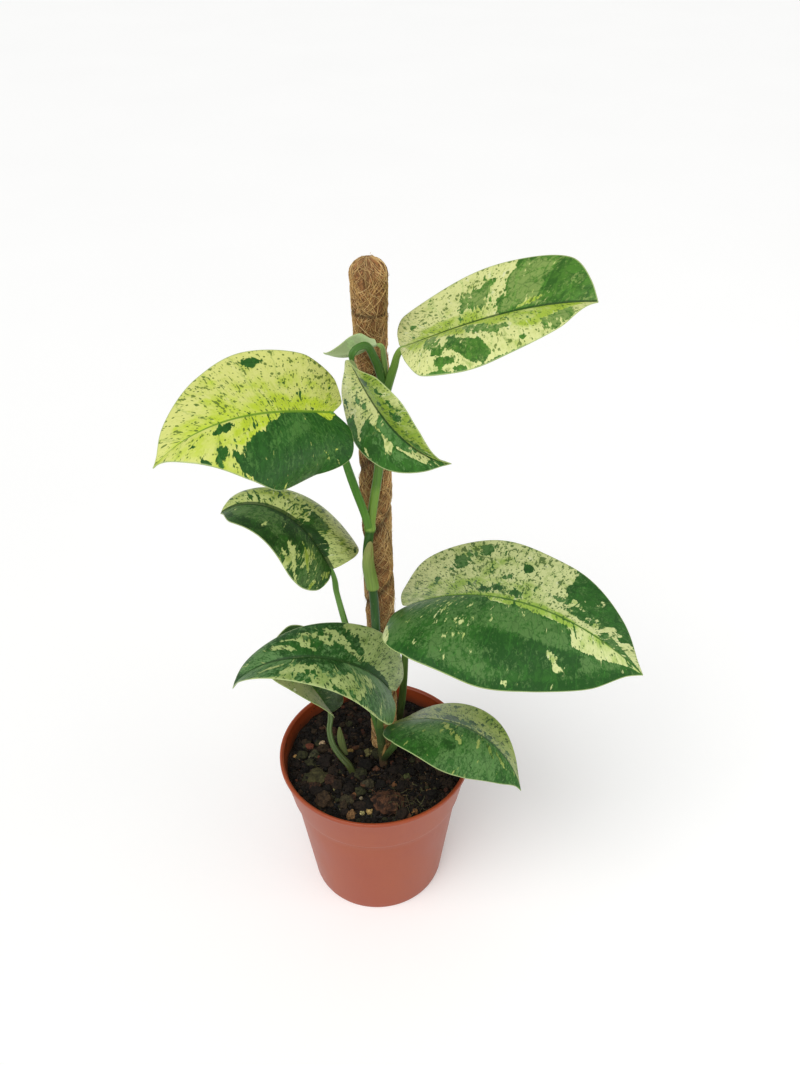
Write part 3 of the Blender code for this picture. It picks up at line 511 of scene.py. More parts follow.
@dataclass(frozen=True)
class Blade:
    """One leaf blade, with the form of its CAD node. Angles and bends are in degrees."""

    name: str
    base: tuple
    heading: float
    rise: float
    roll: float
    length: float
    half_left: float
    half_right: float
    lobe: float
    widest: float
    fullness: float
    droop: float
    droop_gain: float
    sweep: float
    twist: float
    fold_left: tuple
    fold_right: tuple
    curl_left: tuple
    curl_right: tuple
    finish: LeafFinish
    left: Blotch
    right: Blotch
    marks: tuple
    speckle_left: float = 0.6
    speckle_right: float = 0.6
    tip_left: float = 0.0
    tip_right: float = 0.0
    lobe_left: float = 0.0
    lobe_right: float = 0.0
    base_round: float = 0.0
    rows: int = 120
    columns: int = 84
    thickness: float = 0.6
    quilt: float = 0.13
    wave: float = 0.35
    seed: float = 0.0

    def outline(self, share: np.ndarray, tip: float = 0.0, lobe_more: float = 0.0) -> tuple:
        """Return how far along and how wide the margin is, from the base notch (0) to the tip (1)."""
        lobe, widest, full = self.lobe + lobe_more, self.widest, self.fullness
        corner = 0.02 + 1.2 * self.base_round
        places = (0.0, 0.10, 0.22, 0.36, 0.50, 0.68, 0.83, 0.93, 1.0)
        start = -lobe + 0.45 * self.base_round
        along = (0.0, -0.75 * lobe, start, corner, widest, widest + 0.55 * (0.855 - widest), 0.855, 0.955, 1.0)
        across = (0.0, 0.22, 0.55 - 0.8 * self.base_round, 0.90, 1.0, 0.80 + 0.3 * full + 0.2 * tip, 0.42 + full + tip,
                  0.10 + 0.4 * full + 1.3 * tip, 0.0)
        return eased(places, along, share), eased(places, across, share)

    def midrib(self, steps: int = 30) -> list:
        """Return the midrib's points and its forward, side and up vectors, from base to tip."""

        def turned(vector: Vector, axis: Vector, angle: float) -> Vector:
            return Matrix.Rotation(angle, 3, axis) @ vector

        heading, rise, roll = (math.radians(value) for value in (self.heading, self.rise, self.roll))
        level = Vector((math.sin(heading), -math.cos(heading), 0.0))
        forward = level * math.cos(rise) + Vector((0.0, 0.0, math.sin(rise)))
        side = forward.cross(Vector((0, 0, 1))).normalized()
        up = side.cross(forward)
        side, up = turned(side, forward, roll), turned(up, forward, roll)
        point = Vector(self.base)
        rows = [(point.copy(), forward.copy(), side.copy(), up.copy())]
        for index in range(steps):
            share = (index + 0.5) / steps
            bend = math.radians(self.droop + self.droop_gain * share) / steps
            sweep, twist = math.radians(self.sweep) / steps, math.radians(self.twist) / steps
            forward, up = turned(forward, side, -bend / 2), turned(up, side, -bend / 2)
            forward, side = turned(forward, up, sweep), turned(side, up, sweep)
            side, up = turned(side, forward, twist), turned(up, forward, twist)
            point = point + forward * (self.length / steps)
            forward, up = turned(forward, side, -bend / 2), turned(up, side, -bend / 2)
            rows.append((point.copy(), forward.copy(), side.copy(), up.copy()))
        return [np.array([row[column] for row in rows]) for column in range(4)]

    def surface(self, rows: np.ndarray, columns: np.ndarray) -> np.ndarray:
        """Return the blade's points for shares along the margin and across, -1 left to 1 right."""
        spine, forward, side, up = self.midrib()
        last = len(spine) - 1
        left = (columns < 0)[None, :]
        along_left, across_left = self.outline(rows, self.tip_left, self.lobe_left)
        along_right, across_right = self.outline(rows, self.tip_right, self.lobe_right)
        along = np.where(left, along_left[:, None], along_right[:, None])
        across = np.where(left, across_left[:, None], across_right[:, None])
        foot = rows[:, None] ** 1.6
        spread = np.abs(columns)[None, :]
        places = foot + (along - foot) * spread
        half = np.where(left, self.half_left, self.half_right)
        width = half * across * spread
        reach = np.clip(places, 0, 1)

        def mixed(pair_left: tuple, pair_right: tuple) -> np.ndarray:
            from_left = pair_left[0] + (pair_left[1] - pair_left[0]) * reach
            from_right = pair_right[0] + (pair_right[1] - pair_right[0]) * reach
            return np.radians(np.where(left, from_left, from_right))

        fold = mixed(self.fold_left, self.fold_right)
        curl = mixed(self.curl_left, self.curl_right) / half
        curl = np.where(np.abs(curl) < 1e-5, 1e-5, curl)
        out = (np.sin(fold + curl * width) - np.sin(fold)) / curl
        lift = (np.cos(fold) - np.cos(fold + curl * width)) / curl
        out = np.where(left, -out, out)
        index = np.clip((reach * last).astype(int), 0, last - 1)
        part = (reach * last - index)[..., None]

        def along_spine(vectors: np.ndarray) -> np.ndarray:
            return vectors[index] * (1 - part) + vectors[index + 1] * part

        back = np.minimum(places, 0.0)[..., None] * self.length
        sag = 0.5 * math.radians(self.droop) / self.length * back**2
        points = along_spine(spine) + along_spine(forward) * back - along_spine(up) * sag
        return points + along_spine(side) * out[..., None] + along_spine(up) * lift[..., None]

    def tones(self, shares: np.ndarray, spread: np.ndarray, across: np.ndarray) -> np.ndarray:
        """Return green, silver, lime and dark shares for each point of the grid.

        Args:
            shares: the rows' shares along the margin.
            spread: the columns' shares across, -1 to 1.
            across: each point's distance from the midrib along its vein, negative on the left.

        Returns:
            An array of rows, columns and four shares.
        """
        half = np.where(spread < 0, self.half_left, self.half_right)
        flat = np.stack([np.tile(spread * half, len(shares)),
                         np.repeat(shares * self.length, len(spread))], axis=1)
        bends = np.stack([across.ravel() / 7.0, flat[:, 1] / 5.0], axis=1)
        wobble = np.array([noise.noise_vector(Vector((x, y, self.seed))) for x, y in bends])
        flat = flat + 1.3 * wobble[:, :2]
        left = np.tile(spread < 0, len(shares))[:, None]
        value = np.where(left, self.left.value, self.right.value).astype(float)
        for mark in self.marks:
            corners = np.array(mark.outline, float)
            wide = np.where(corners[:, 1] < 0, self.half_left, self.half_right)
            middle = corners[:, 1].mean()
            corners = np.stack([corners[:, 1] * wide, corners[:, 0] * self.length], axis=1)
            weight = step_between(-mark.soft, mark.soft, depth_inside(flat, corners))[:, None]
            weight = np.where(left == (middle < 0), weight, 0.0) * mark.strength
            value = value * (1 - weight) + np.array(mark.blotch.value) * weight
        return value.reshape(len(shares), len(spread), 4)

    def build(self) -> bpy.types.Object:
        """Return the blade as one closed mesh with a grooved midrib, quilted veins and a thin round edge."""
        shares = 0.5 - 0.5 * np.cos(np.linspace(0.05, math.pi - 0.03, self.rows))
        shares = (shares - shares[0]) / (shares[-1] - shares[0])
        even = np.linspace(-1.0, 1.0, self.columns + 1)
        spread = np.sign(even) * np.abs(even) ** 1.35
        grid = self.surface(shares, spread)
        steps = np.linalg.norm(np.diff(grid, axis=1), axis=2)
        reach = np.concatenate([np.zeros((len(shares), 1)), np.cumsum(steps, axis=1)], axis=1)
        across = reach - reach[:, self.columns // 2][:, None]
        along = np.repeat((shares * self.length)[:, None], len(spread), axis=1)
        normal = normalised(np.cross(np.gradient(grid, axis=1), np.gradient(grid, axis=0)))
        normal[0], normal[-1] = normal[1].mean(axis=0), normal[-2].mean(axis=0)
        margin = np.abs(spread)[None, :]
        ends = step_between(0.0, 0.10, shares)[:, None] * step_between(1.0, 0.93, shares)[:, None]
        drift = 2.2 * np.sin(across / 11.0 + self.seed) + 1.4 * np.sin(along / 13.0 + 3.0 * self.seed)
        vein_phase = math.pi * (along + drift) / self.finish.vein_gap
        swell = (np.abs(np.sin(vein_phase)) - 0.6) * (1 - np.exp(-(across / 4.0) ** 2)) * (1 - margin**4)
        ripple = np.sin(along / 6.5 + self.seed) + 0.7 * np.sin(along / 3.9 + 2.1 * self.seed)
        ripple = ripple * np.sign(spread)[None, :] * margin**3
        shift = ends * (self.quilt * swell + self.wave * ripple)
        tips = (1 - 0.7 * shares)[:, None] * step_between(1.0, 0.97, shares)[:, None]
        groove = 0.42 * np.exp(-((across / 0.8) ** 2)) * tips
        ridge = 0.75 * np.exp(-((across / 1.0) ** 2)) * tips
        thick = self.thickness * (1 - 0.35 * margin**6)
        top = grid + normal * (shift + thick / 2 - groove)[..., None]
        under = grid + normal * (shift - thick / 2 - ridge)[..., None]
        tone = self.tones(shares, spread, across)
        total = np.where(spread[None, :] < 0, -across[:, :1], across[:, -1:])
        edge = (total - np.abs(across)) * 0.1
        speckle = np.where(spread[None, :] < 0, self.speckle_left, self.speckle_right) * np.ones_like(across)
        marks = np.stack([speckle, tone[..., 3], edge], axis=-1)
        flow = np.stack([across, along, np.full_like(across, self.seed * 37.0)], axis=-1)
        return self.join(top, under, tone[..., :3], marks, flow)

    def join(self, top: np.ndarray, under: np.ndarray, tone: np.ndarray, marks: np.ndarray,
             flow: np.ndarray) -> bpy.types.Object:
        """Return the object that joins the two faces by a rounded margin."""
        rows, columns = top.shape[:2]
        numbers = np.zeros((rows, columns), int)
        numbers[0] = 0
        numbers[1:-1] = 1 + np.arange((rows - 2) * columns).reshape(rows - 2, columns)
        numbers[-1] = 1 + (rows - 2) * columns
        total = int(numbers[-1, 0]) + 1
        middle = columns // 2

        def packed(values: np.ndarray) -> np.ndarray:
            inner = values[1:-1].reshape(-1, values.shape[-1])
            return np.concatenate([values[0, middle][None], inner, values[-1, middle][None]])

        def cells(offset: int, flipped: bool) -> list:
            made = []
            for row in range(rows - 1):
                for column in range(columns - 1):
                    ring = (numbers[row, column], numbers[row, column + 1],
                            numbers[row + 1, column + 1], numbers[row + 1, column])
                    ring = tuple(dict.fromkeys(int(number) + offset for number in ring))
                    made.append(ring[::-1] if flipped else ring)
            return made

        work = MeshWork()
        work.add(packed(top), cells(0, False), Face.TOP.value, tone=packed(tone), marks=packed(marks),
                 flow=packed(flow))
        work.add(packed(under), cells(0, True), Face.UNDER.value, tone=packed(tone), marks=packed(marks),
                 flow=packed(flow))
        rim_faces = []
        rims, rim_tone, rim_marks, rim_flow = [], [], [], []
        first = 2 * total
        for side, inner in ((0, 1), (columns - 1, columns - 2)):
            centre = (top[:, side] + under[:, side]) / 2
            inward = (top[:, inner] + under[:, inner]) / 2
            outward = normalised(centre - inward)
            outward[0] = outward[1]
            start = first + len(rims) * rows
            rims.append(centre + outward * 0.16)
            rim_tone.append(tone[:, side])
            rim_marks.append(marks[:, side])
            rim_flow.append(flow[:, side])
            for row in range(rows - 1):
                near, far = int(numbers[row, side]), int(numbers[row + 1, side])
                low, high = start + row, start + row + 1
                upper = (near, low, high, far) if side == 0 else (near, far, high, low)
                lower = (near + total, far + total, high, low)
                lower = lower if side == 0 else lower[::-1]
                rim_faces.append(upper[::-1])
                rim_faces.append(lower[::-1])
        work.add(np.concatenate(rims), [tuple(c - first for c in face) for face in rim_faces], Face.TOP.value,
                 tone=np.concatenate(rim_tone), marks=np.concatenate(rim_marks),
                 flow=np.concatenate(rim_flow))
        made = work.piece(f"{self.name}_blade", [self.finish.top(f"{self.name}_upper_side"),
                                                 self.finish.under(f"{self.name}_underside")])
        weld = bmesh.new()
        weld.from_mesh(made.data)
        bmesh.ops.recalc_face_normals(weld, faces=weld.faces)
        weld.to_mesh(made.data)
        weld.free()
        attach(made, "root")
        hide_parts(self.name)
        return made


PALE_LEAF = LeafFinish((214, 219, 146), (166, 192, 64), (76, 124, 42), (50, 94, 30), (134, 160, 84),
                       speck=(92, 118, 44), rib=(38, 74, 16), rib_width=1.5, olive=(128, 158, 70))
YELLOW_LEAF = LeafFinish((212, 216, 126), (188, 210, 54), (44, 94, 32), (30, 76, 22), (78, 124, 56),
                         speck=(92, 116, 44), rib=(98, 140, 32), vein_gap=10.0, rib_width=0.9,
                         bleach=(216, 218, 142), olive=(180, 196, 82))
FOLDED_LEAF = LeafFinish((206, 212, 140), (140, 168, 52), (52, 104, 32), (36, 80, 22), (92, 136, 70),
                         speck=(66, 100, 40), rib=(30, 66, 14), rib_width=1.8, olive=(136, 160, 72))
YOUNG_LEAF = LeafFinish((188, 208, 140), (170, 200, 104), (96, 132, 62), (84, 118, 46), (150, 172, 118),
                        under_pale=(178, 196, 148), under_green=(154, 180, 124), rib=(130, 156, 90),
                        roughness=0.5, vein_gap=5.0)
DARK_LEAF = LeafFinish((190, 202, 124), (140, 162, 52), (48, 90, 30), (32, 64, 22), (90, 122, 64),
                       speck=(74, 104, 44), rib=(30, 62, 18), rib_width=1.9, olive=(130, 152, 72))
LARGE_LEAF = LeafFinish((206, 214, 148), (150, 182, 72), (48, 98, 34), (34, 78, 26), (88, 126, 66),
                        speck=(74, 106, 46), rib=(70, 112, 34), margin=(176, 194, 124), vein_gap=9.0,
                        rib_width=1.2, olive=(150, 174, 92))
DROOPING_LEAF = LeafFinish((168, 184, 116), (130, 154, 76), (42, 88, 32), (30, 68, 22), (98, 136, 80),
                           speck=(44, 72, 30), rib=(34, 68, 22), rib_width=1.7, bleach=(184, 196, 136),
                           olive=(118, 146, 76))
SHADED_LEAF = LeafFinish((150, 158, 100), (120, 140, 66), (54, 88, 36), (42, 72, 28), (84, 114, 66),
                         under_pale=(146, 150, 98), under_green=(88, 112, 62), roughness=0.48)
LOW_LEAF = LeafFinish((164, 178, 98), (118, 146, 58), (50, 98, 36), (36, 74, 26), (94, 134, 72),
                      speck=(46, 78, 30), rib=(52, 90, 36), margin=(170, 186, 124), rib_width=1.2,
                      bleach=(176, 188, 118), olive=(112, 142, 60))

B = Blotch
BLADES = (
    Blade(
        "leaf_top", (18.5, -12.0, 383.0), 95, 19, -2, 91, 37, 36.5, 0.02, 0.29, 0.12, -11, 41, -29, 4,
        (-13, 36), (26, 14), (26, -10), (-60, -55), PALE_LEAF, B.CREAM, B.CREAM,
        (
            Mark(B.LIME, ((0.02, 0.2), (0.12, -0.24), (0.35, -0.34), (0.56, -0.30), (0.66, 0.2)), 3.5, 0.85),
            Mark(B.OLIVE, ((0.42, -0.02), (0.44, -0.20), (0.64, -0.34), (0.66, -0.02)), 3.5, 0.55),
            Mark(B.LIME, ((0.0, -0.2), (0.08, 0.6), (0.3, 0.62), (0.36, 0.36), (0.6, 0.34), (0.74, 0.7),
                          (0.95, 0.5), (0.95, -0.2)), 4.0, 0.95),
            Mark(B.OLIVE, ((0.62, 0.02), (0.64, 0.46), (0.78, 0.6), (0.8, 0.02)), 3.0, 0.6),
            spot(B.SILVER, 0.555, -0.50, 0.16, 0.020, 0.3, 1.6),
            spot(B.GREEN, 0.60, -0.66, 0.10, 0.016, 0.3),
            spot(B.SILVER, 0.36, 0.24, 0.10, 0.030, 0.1, 1.8),
            spot(B.OLIVE, 0.42, -0.30, 0.20, 0.016, 0.3, 1.8),
            spot(B.OLIVE, 0.70, 0.36, 0.14, 0.016, 0.2, 1.8),
            Mark(B.SILVER, ((0.50, -0.32), (0.52, -0.66), (0.63, -0.7), (0.62, -0.3)), 2.0, 0.8),
            Mark(B.GREEN, ((0.655, 0.02), (0.64, -0.25), (0.66, -0.5), (0.68, -0.8), (0.70, -1.1),
                           (1.02, -1.1), (1.02, 0.02)), 1.0),
            Mark(B.SILVER, ((0.67, -0.1), (0.68, -0.9), (0.79, -0.95), (0.79, -0.08)), 2.6, 0.85),
            spot(B.DARK, 0.80, -0.5, 0.38, 0.012, 0.03),
            spot(B.DARK, 0.875, -0.06, 0.06, 0.03),
            spot(B.LIME, 0.74, -0.12, 0.10, 0.010, 0.3),
            spot(B.LIME, 0.78, -0.16, 0.08, 0.008, 0.3),
            spot(B.GREEN, 0.32, -0.65, 0.05, 0.014),
            spot(B.GREEN, 0.25, -0.38, 0.05, 0.012),
            spot(B.GREEN, 0.37, -0.53, 0.04, 0.012),
            spot(B.GREEN, 0.61, -0.65, 0.04, 0.010),
            Mark(B.SILVER, ((0.33, 0.30), (0.34, 0.55), (0.41, 0.6), (0.43, 0.36)), 1.8, 0.75),
            Mark(B.SILVER, ((0.47, 0.14), (0.52, 0.34), (0.62, 0.56), (0.69, 0.52), (0.6, 0.26),
                            (0.53, 0.12)), 1.6, 0.85),
            Mark(B.GREEN, ((0.385, 0.52), (0.40, 0.7), (0.435, 0.72), (0.43, 0.54)), 0.9),
            Mark(B.GREEN, ((0.41, 0.76), (0.43, 0.92), (0.48, 0.86), (0.47, 0.74)), 0.9),
            Mark(B.GREEN, ((0.44, 0.5), (0.47, 0.42), (0.53, 0.5), (0.59, 0.68), (0.61, 0.86), (0.58, 0.97),
                           (0.54, 0.93), (0.50, 0.74), (0.46, 0.64)), 0.9),
            spot(B.GREEN, 0.49, 0.94, 0.05, 0.025),
            spot(B.DARK, 0.46, 0.40, 0.03, 0.010),
            spot(B.GREEN, 0.71, 0.83, 0.04, 0.012),
            Mark(B.SILVER, ((0.78, 0.56), (0.79, 0.98), (0.92, 0.98), (0.9, 0.5)), 2.2, 0.85),
            Mark(B.GREEN, ((0.38, 0.975), (0.38, 1.1), (0.72, 1.1), (0.72, 0.975)), 0.7, 0.9),
        ),
        speckle_left=0.9, speckle_right=0.7, tip_left=0.10, base_round=0.02, seed=1.3,
    ),
    Blade(
        "leaf_upper_left", (-14.2, -40.0, 365.5), -49, 23, -35, 91.5, 36, 37, 0.16, 0.32, -0.08,
        8, 118, -4, 40, (-23, 6), (-15, 22), (-71, -83), (30, -20), YELLOW_LEAF, B.PALE, B.PALE,
        (
            Mark(B.LIME, ((0.0, 0.0), (0.05, 0.35), (0.3, 0.32), (0.6, 0.22), (0.85, 0.1), (0.9, 0.0)),
                 5.0, 0.9),
            Mark(B.CREAM, ((0.1, 0.7), (0.1, 1.1), (0.95, 1.1), (0.9, 0.5), (0.5, 0.62)), 6.0, 0.9),
            Mark(B.LIME, ((0.0, 0.02), (0.02, -0.22), (0.2, -0.22), (0.27, -0.06), (0.5, 0.02)), 1.6),
            Mark(B.OLIVE, ((0.46, 0.0), (0.56, -0.14), (0.63, -0.3), (0.72, -0.34), (0.70, -0.12),
                           (0.6, 0.0)), 1.4, 0.9),
            Mark(B.MARBLED, ((0.60, -0.22), (0.66, -0.5), (0.70, -0.75), (0.70, -1.0), (0.79, -1.0),
                             (0.77, -0.7), (0.73, -0.4), (0.70, -0.24)), 2.4, 0.75),
            Mark(B.LIME, ((0.45, 0.1), (0.555, -0.13), (0.625, -0.28), (0.685, -0.48), (0.705, -0.46),
                          (0.65, -0.26), (0.58, -0.10), (0.5, 0.1)), 0.7),
            Mark(B.GREEN, ((0.0, -0.2), (0.05, -0.2), (0.2, -0.2), (0.25, -0.06), (0.3, 0.03), (0.45, 0.03),
                           (0.55, -0.15), (0.62, -0.3), (0.68, -0.5), (0.715, -0.75), (0.71, -0.9),
                           (0.68, -0.96), (0.62, -1.1), (-0.05, -1.1), (-0.05, -0.2)), 1.0),
            Mark(B.SILVER, ((0.40, 0.0), (0.46, -0.12), (0.53, -0.26), (0.60, -0.45), (0.5, -0.4),
                            (0.36, -0.2)), 3.0, 0.75),
            Mark(B.SILVER, ((0.28, -0.35), (0.30, -0.75), (0.40, -0.8), (0.38, -0.3)), 4.0, 0.45),
            spot(B.DARK, 0.735, -0.16, 0.09, 0.018, 0.10),
            spot(B.DARK, 0.765, -0.22, 0.07, 0.012, 0.10),
            spot(B.GREEN, 0.79, -0.95, 0.08, 0.014),
            spot(B.GREEN, 0.83, -0.55, 0.04, 0.008),
            spot(B.GREEN, 0.50, 0.83, 0.06, 0.020, -0.15),
            spot(B.OLIVE, 0.36, 0.30, 0.10, 0.020, 0.1),
            spot(B.OLIVE, 0.33, 0.12, 0.03, 0.012),
            spot(B.GREEN, 0.295, 0.06, 0.03, 0.010),
            spot(B.OLIVE, 0.49, 0.60, 0.06, 0.014),
            spot(B.OLIVE, 0.66, 0.75, 0.08, 0.016),
            spot(B.OLIVE, 0.51, 0.16, 0.06, 0.012),
            spot(B.OLIVE, 0.24, 0.75, 0.07, 0.014),
            spot(B.OLIVE, 0.73, 0.60, 0.10, 0.012, 0.2),
            spot(B.OLIVE, 0.83, 0.65, 0.06, 0.012),
        ),
        speckle_left=0.55, speckle_right=0.85, quilt=0.18, seed=2.7,
    ),
    Blade(
        "leaf_centre", (-5.5, -18.0, 380.5), 53, -58, 99, 69, 27, 26, 0.01, 0.39, -0.08,
        -20, 125, 29, -6, (48, 43), (-5, 24), (-47, -71), (-33, 44), FOLDED_LEAF, B.PALE, B.CREAM,
        (
            Mark(B.LIME, ((0.1, 0.3), (0.2, -0.66), (0.5, -0.72), (0.98, -1.2), (1.0, 0.3)), 4.0),
            Mark(B.OLIVE, ((0.0, 0.3), (0.05, -0.4), (0.3, -0.3), (0.5, -0.16), (0.55, 0.3)), 2.2, 0.95),
            Mark(B.DARK, ((0.28, -0.34), (0.30, -0.6), (0.36, -0.66), (0.37, -0.4)), 1.0),
            spot(B.DARK, 0.42, -0.70, 0.06, 0.018),
            spot(B.DARK, 0.46, -0.75, 0.06, 0.016),
            spot(B.GREEN, 0.50, -0.75, 0.07, 0.014),
            spot(B.GREEN, 0.50, -0.50, 0.06, 0.014),
            spot(B.DARK, 0.55, -0.62, 0.05, 0.014),
            spot(B.GREEN, 0.59, -0.70, 0.12, 0.026),
            spot(B.GREEN, 0.67, -0.68, 0.06, 0.014),
            Mark(B.MARBLED, ((0.72, -0.4), (0.72, -0.75), (0.84, -0.8), (0.83, -0.35)), 1.6, 0.9),
            Mark(B.SILVER, ((0.54, 0.0), (0.55, -0.16), (0.64, -0.14), (0.66, 0.0)), 1.0, 0.8),
            Mark(B.GREEN, ((0.92, 0.0), (0.9, -0.4), (1.02, -0.6), (1.02, 0.0)), 1.4, 0.8),
            Mark(B.CREAM, ((0.02, 0.02), (0.05, 1.0), (0.45, 1.0), (0.5, 0.02)), 3.0, 0.5),
            Mark(B.SILVER, ((0.565, 0.0), (0.58, 0.30), (0.66, 0.36), (0.80, 0.36), (0.82, 0.12),
                            (0.76, 0.0)), 0.9, 0.95),
            Mark(B.GREEN, ((0.52, 0.42), (0.54, 0.78), (0.60, 0.86), (0.68, 0.62), (0.66, 0.42),
                           (0.58, 0.34)), 0.9),
            Mark(B.GREEN, ((0.46, 0.72), (0.45, 1.1), (0.95, 1.1), (0.84, 0.62), (0.78, 0.44),
                           (0.72, 0.40), (0.69, 0.62), (0.60, 0.86), (0.53, 0.80)), 0.9),
            spot(B.SILVER, 0.74, 0.58, 0.12, 0.035),
            spot(B.DARK, 0.62, 0.80, 0.12, 0.030),
            Mark(B.GREEN, ((0.88, 0.0), (0.86, 0.5), (0.86, 1.1), (1.02, 1.1), (1.02, 0.0)), 1.4, 0.9),
            spot(B.SILVER, 0.42, 0.42, 0.06, 0.022),
            spot(B.SILVER, 0.46, 0.30, 0.05, 0.014),
            spot(B.OLIVE, 0.26, 0.34, 0.10, 0.020),
            spot(B.OLIVE, 0.34, 0.40, 0.08, 0.016),
            spot(B.GREEN, 0.40, 0.86, 0.05, 0.020),
            spot(B.CREAM, 0.62, 0.94, 0.07, 0.008, 0.3),
            Mark(B.DARK, ((0.04, -0.1), (0.04, 0.035), (0.5, 0.06), (0.9, 0.10), (0.9, 0.0), (0.5, -0.1)), 0.5),
            Mark(B.DARK, ((0.08, 0.1), (0.08, -0.05), (0.5, -0.09), (0.7, -0.06), (0.7, 0.03)), 0.5),
        ),
        speckle_left=0.9, speckle_right=0.7, base_round=0.14, rows=96, columns=72, seed=4.1,
    ),
    Blade(
        "leaf_young", (6.5, -7.4, 383.2), -86, -22, 63, 26.6, 8.6, 6.6, 0.0, 0.40, -0.06,
        -5, -77, 1, -16, (46, 0), (37, 0), (11, -25), (-2, -18), YOUNG_LEAF, B.PALE, B.PALE,
        (
            Mark(B.SILVER, ((0.3, -0.2), (0.3, -0.9), (0.7, -0.9), (0.7, -0.2)), 2.0, 0.6),
            # Painted shadow: this dark spot stands in for the shade on the inner face of the folded young blade.
            spot(B.DARK, 0.55, 0.7, 0.2, 0.05),
        ),
        speckle_left=0.1, speckle_right=0.1, base_round=0.16, rows=60, columns=40, thickness=0.55, quilt=0.05, wave=0.08,
        seed=5.5,
    ),
    Blade(
        "leaf_mid_left", (-20.4, -14.0, 257.5), -137, 54, 32, 76, 30.5, 30.5, 0.01, 0.18, 0.15,
        16, 172, 27, -10, (2, 10), (41, 20), (-35, -19), (-50, -103), DARK_LEAF, B.GREEN, B.CREAM,
        (
            Mark(B.LIME, ((0.13, -0.42), (0.14, -0.74), (0.24, -0.72), (0.26, -0.44)), 2.0, 0.7),
            Mark(B.SILVER, ((0.28, -0.2), (0.28, -0.95), (0.47, -0.95), (0.46, -0.2)), 4.0, 0.75),
            Mark(B.MARBLED, ((0.02, -0.9), (0.05, -1.1), (0.2, -1.1), (0.2, -0.85)), 1.4),
            Mark(B.MARBLED, ((0.33, -0.30), (0.42, -0.56), (0.52, -1.05), (0.62, -1.05), (0.53, -0.56),
                             (0.44, -0.28)), 1.6, 0.9),
            spot(B.CREAM, 0.50, -0.80, 0.24, 0.020, -0.35),
            spot(B.LIME, 0.44, -0.52, 0.22, 0.018, -0.35),
            spot(B.CREAM, 0.555, -0.92, 0.12, 0.010, -0.35),
            spot(B.CREAM, 0.56, -0.50, 0.16, 0.008, -0.2),
            spot(B.LIME, 0.30, -0.90, 0.12, 0.012, 0.1),
            Mark(B.DARK, ((0.57, -0.08), (0.57, -0.46), (0.67, -0.42), (0.67, -0.08)), 2.0, 0.9),
            Mark(B.DARK, ((0.62, -0.72), (0.62, -1.1), (0.80, -1.1), (0.80, -0.70)), 1.6, 0.9),
            Mark(B.SILVER, ((0.66, -0.05), (0.64, -0.66), (0.92, -0.7), (0.95, -0.05)), 2.6, 0.85),
            Mark(B.DARK, ((0.02, 0.0), (0.02, -0.08), (0.75, -0.14), (0.75, 0.0)), 1.0, 0.8),
            Mark(B.PALE, ((0.55, 0.25), (0.55, 1.1), (1.0, 1.1), (0.95, 0.2)), 3.0, 0.7),
            Mark(B.DARK, ((0.22, 0.0), (0.30, 0.20), (0.56, 0.24), (0.60, 0.0)), 1.2, 0.9),
            Mark(B.MARBLED, ((0.42, 0.16), (0.46, 0.46), (0.58, 0.50), (0.62, 0.14)), 1.6, 0.9),
            Mark(B.MARBLED, ((0.56, 0.04), (0.56, 0.44), (0.74, 0.42), (0.95, 0.2), (0.95, 0.04)), 2.4, 0.9),
            Mark(B.OLIVE, ((0.6, 0.4), (0.6, 1.1), (0.95, 1.1), (0.9, 0.3)), 4.0, 0.8),
            spot(B.GREEN, 0.32, 0.88, 0.06, 0.030),
            spot(B.OLIVE, 0.38, 0.55, 0.12, 0.020, 0.2),
            spot(B.OLIVE, 0.30, 0.60, 0.12, 0.016, 0.2),
        ),
        speckle_left=0.3, speckle_right=1.0, lobe_left=0.05, quilt=0.18, rows=110, columns=78, seed=6.9,
    ),
    Blade(
        "leaf_right", (21.4, -19.8, 236.5), 86, 27, -17, 137, 55, 55.5, 0.08, 0.28, 0.01,
        92, -45, -20, 40, (-12, -15), (19, -19), (40, -10), (-64, -38), LARGE_LEAF, B.CREAM, B.GREEN,
        (
            Mark(B.OLIVE, ((0.10, -0.02), (0.20, -0.30), (0.40, -0.40), (0.66, -0.42), (0.70, -0.02)), 5.0, 0.5),
            Mark(B.LIME, ((0.05, 0.1), (0.10, -0.9), (0.22, -0.95), (0.30, -0.5), (0.6, -0.35), (0.7, 0.1)),
                 5.0, 0.4),
            spot(B.OLIVE, 0.30, -0.40, 0.24, 0.030, 0.25, 2.5),
            spot(B.OLIVE, 0.24, -0.62, 0.20, 0.020, 0.25, 2.0),
            spot(B.OLIVE, 0.50, -0.55, 0.20, 0.018, 0.20, 2.0),
            Mark(B.SILVER, ((0.40, -0.64), (0.43, -0.82), (0.48, -0.94), (0.515, -0.9), (0.48, -0.76),
                            (0.44, -0.62)), 1.6, 0.85),
            spot(B.DARK, 0.59, -0.63, 0.08, 0.018, 0.05),
            Mark(B.MARBLED, ((0.38, -0.06), (0.42, -0.28), (0.52, -0.30), (0.60, -0.22), (0.60, -0.06)),
                 2.2, 0.95),
            spot(B.DARK, 0.46, -0.16, 0.06, 0.012, 0.1),
            spot(B.DARK, 0.52, -0.20, 0.06, 0.012, 0.1),
            spot(B.DARK, 0.57, -0.14, 0.05, 0.012, 0.1),
            spot(B.SILVER, 0.70, -0.33, 0.07, 0.022, 0.1),
            spot(B.SILVER, 0.345, -0.56, 0.06, 0.012, 0.2),
            spot(B.SILVER, 0.54, -0.42, 0.05, 0.010, 0.2),
            Mark(B.MARBLED, ((0.71, -0.16), (0.70, -0.5), (0.72, -0.8), (0.85, -0.7), (0.85, -0.16)),
                 2.0, 0.9),
            Mark(B.GREEN, ((0.70, -0.52), (0.69, -1.1), (0.90, -1.1), (0.88, -0.5), (0.78, -0.42)), 1.2),
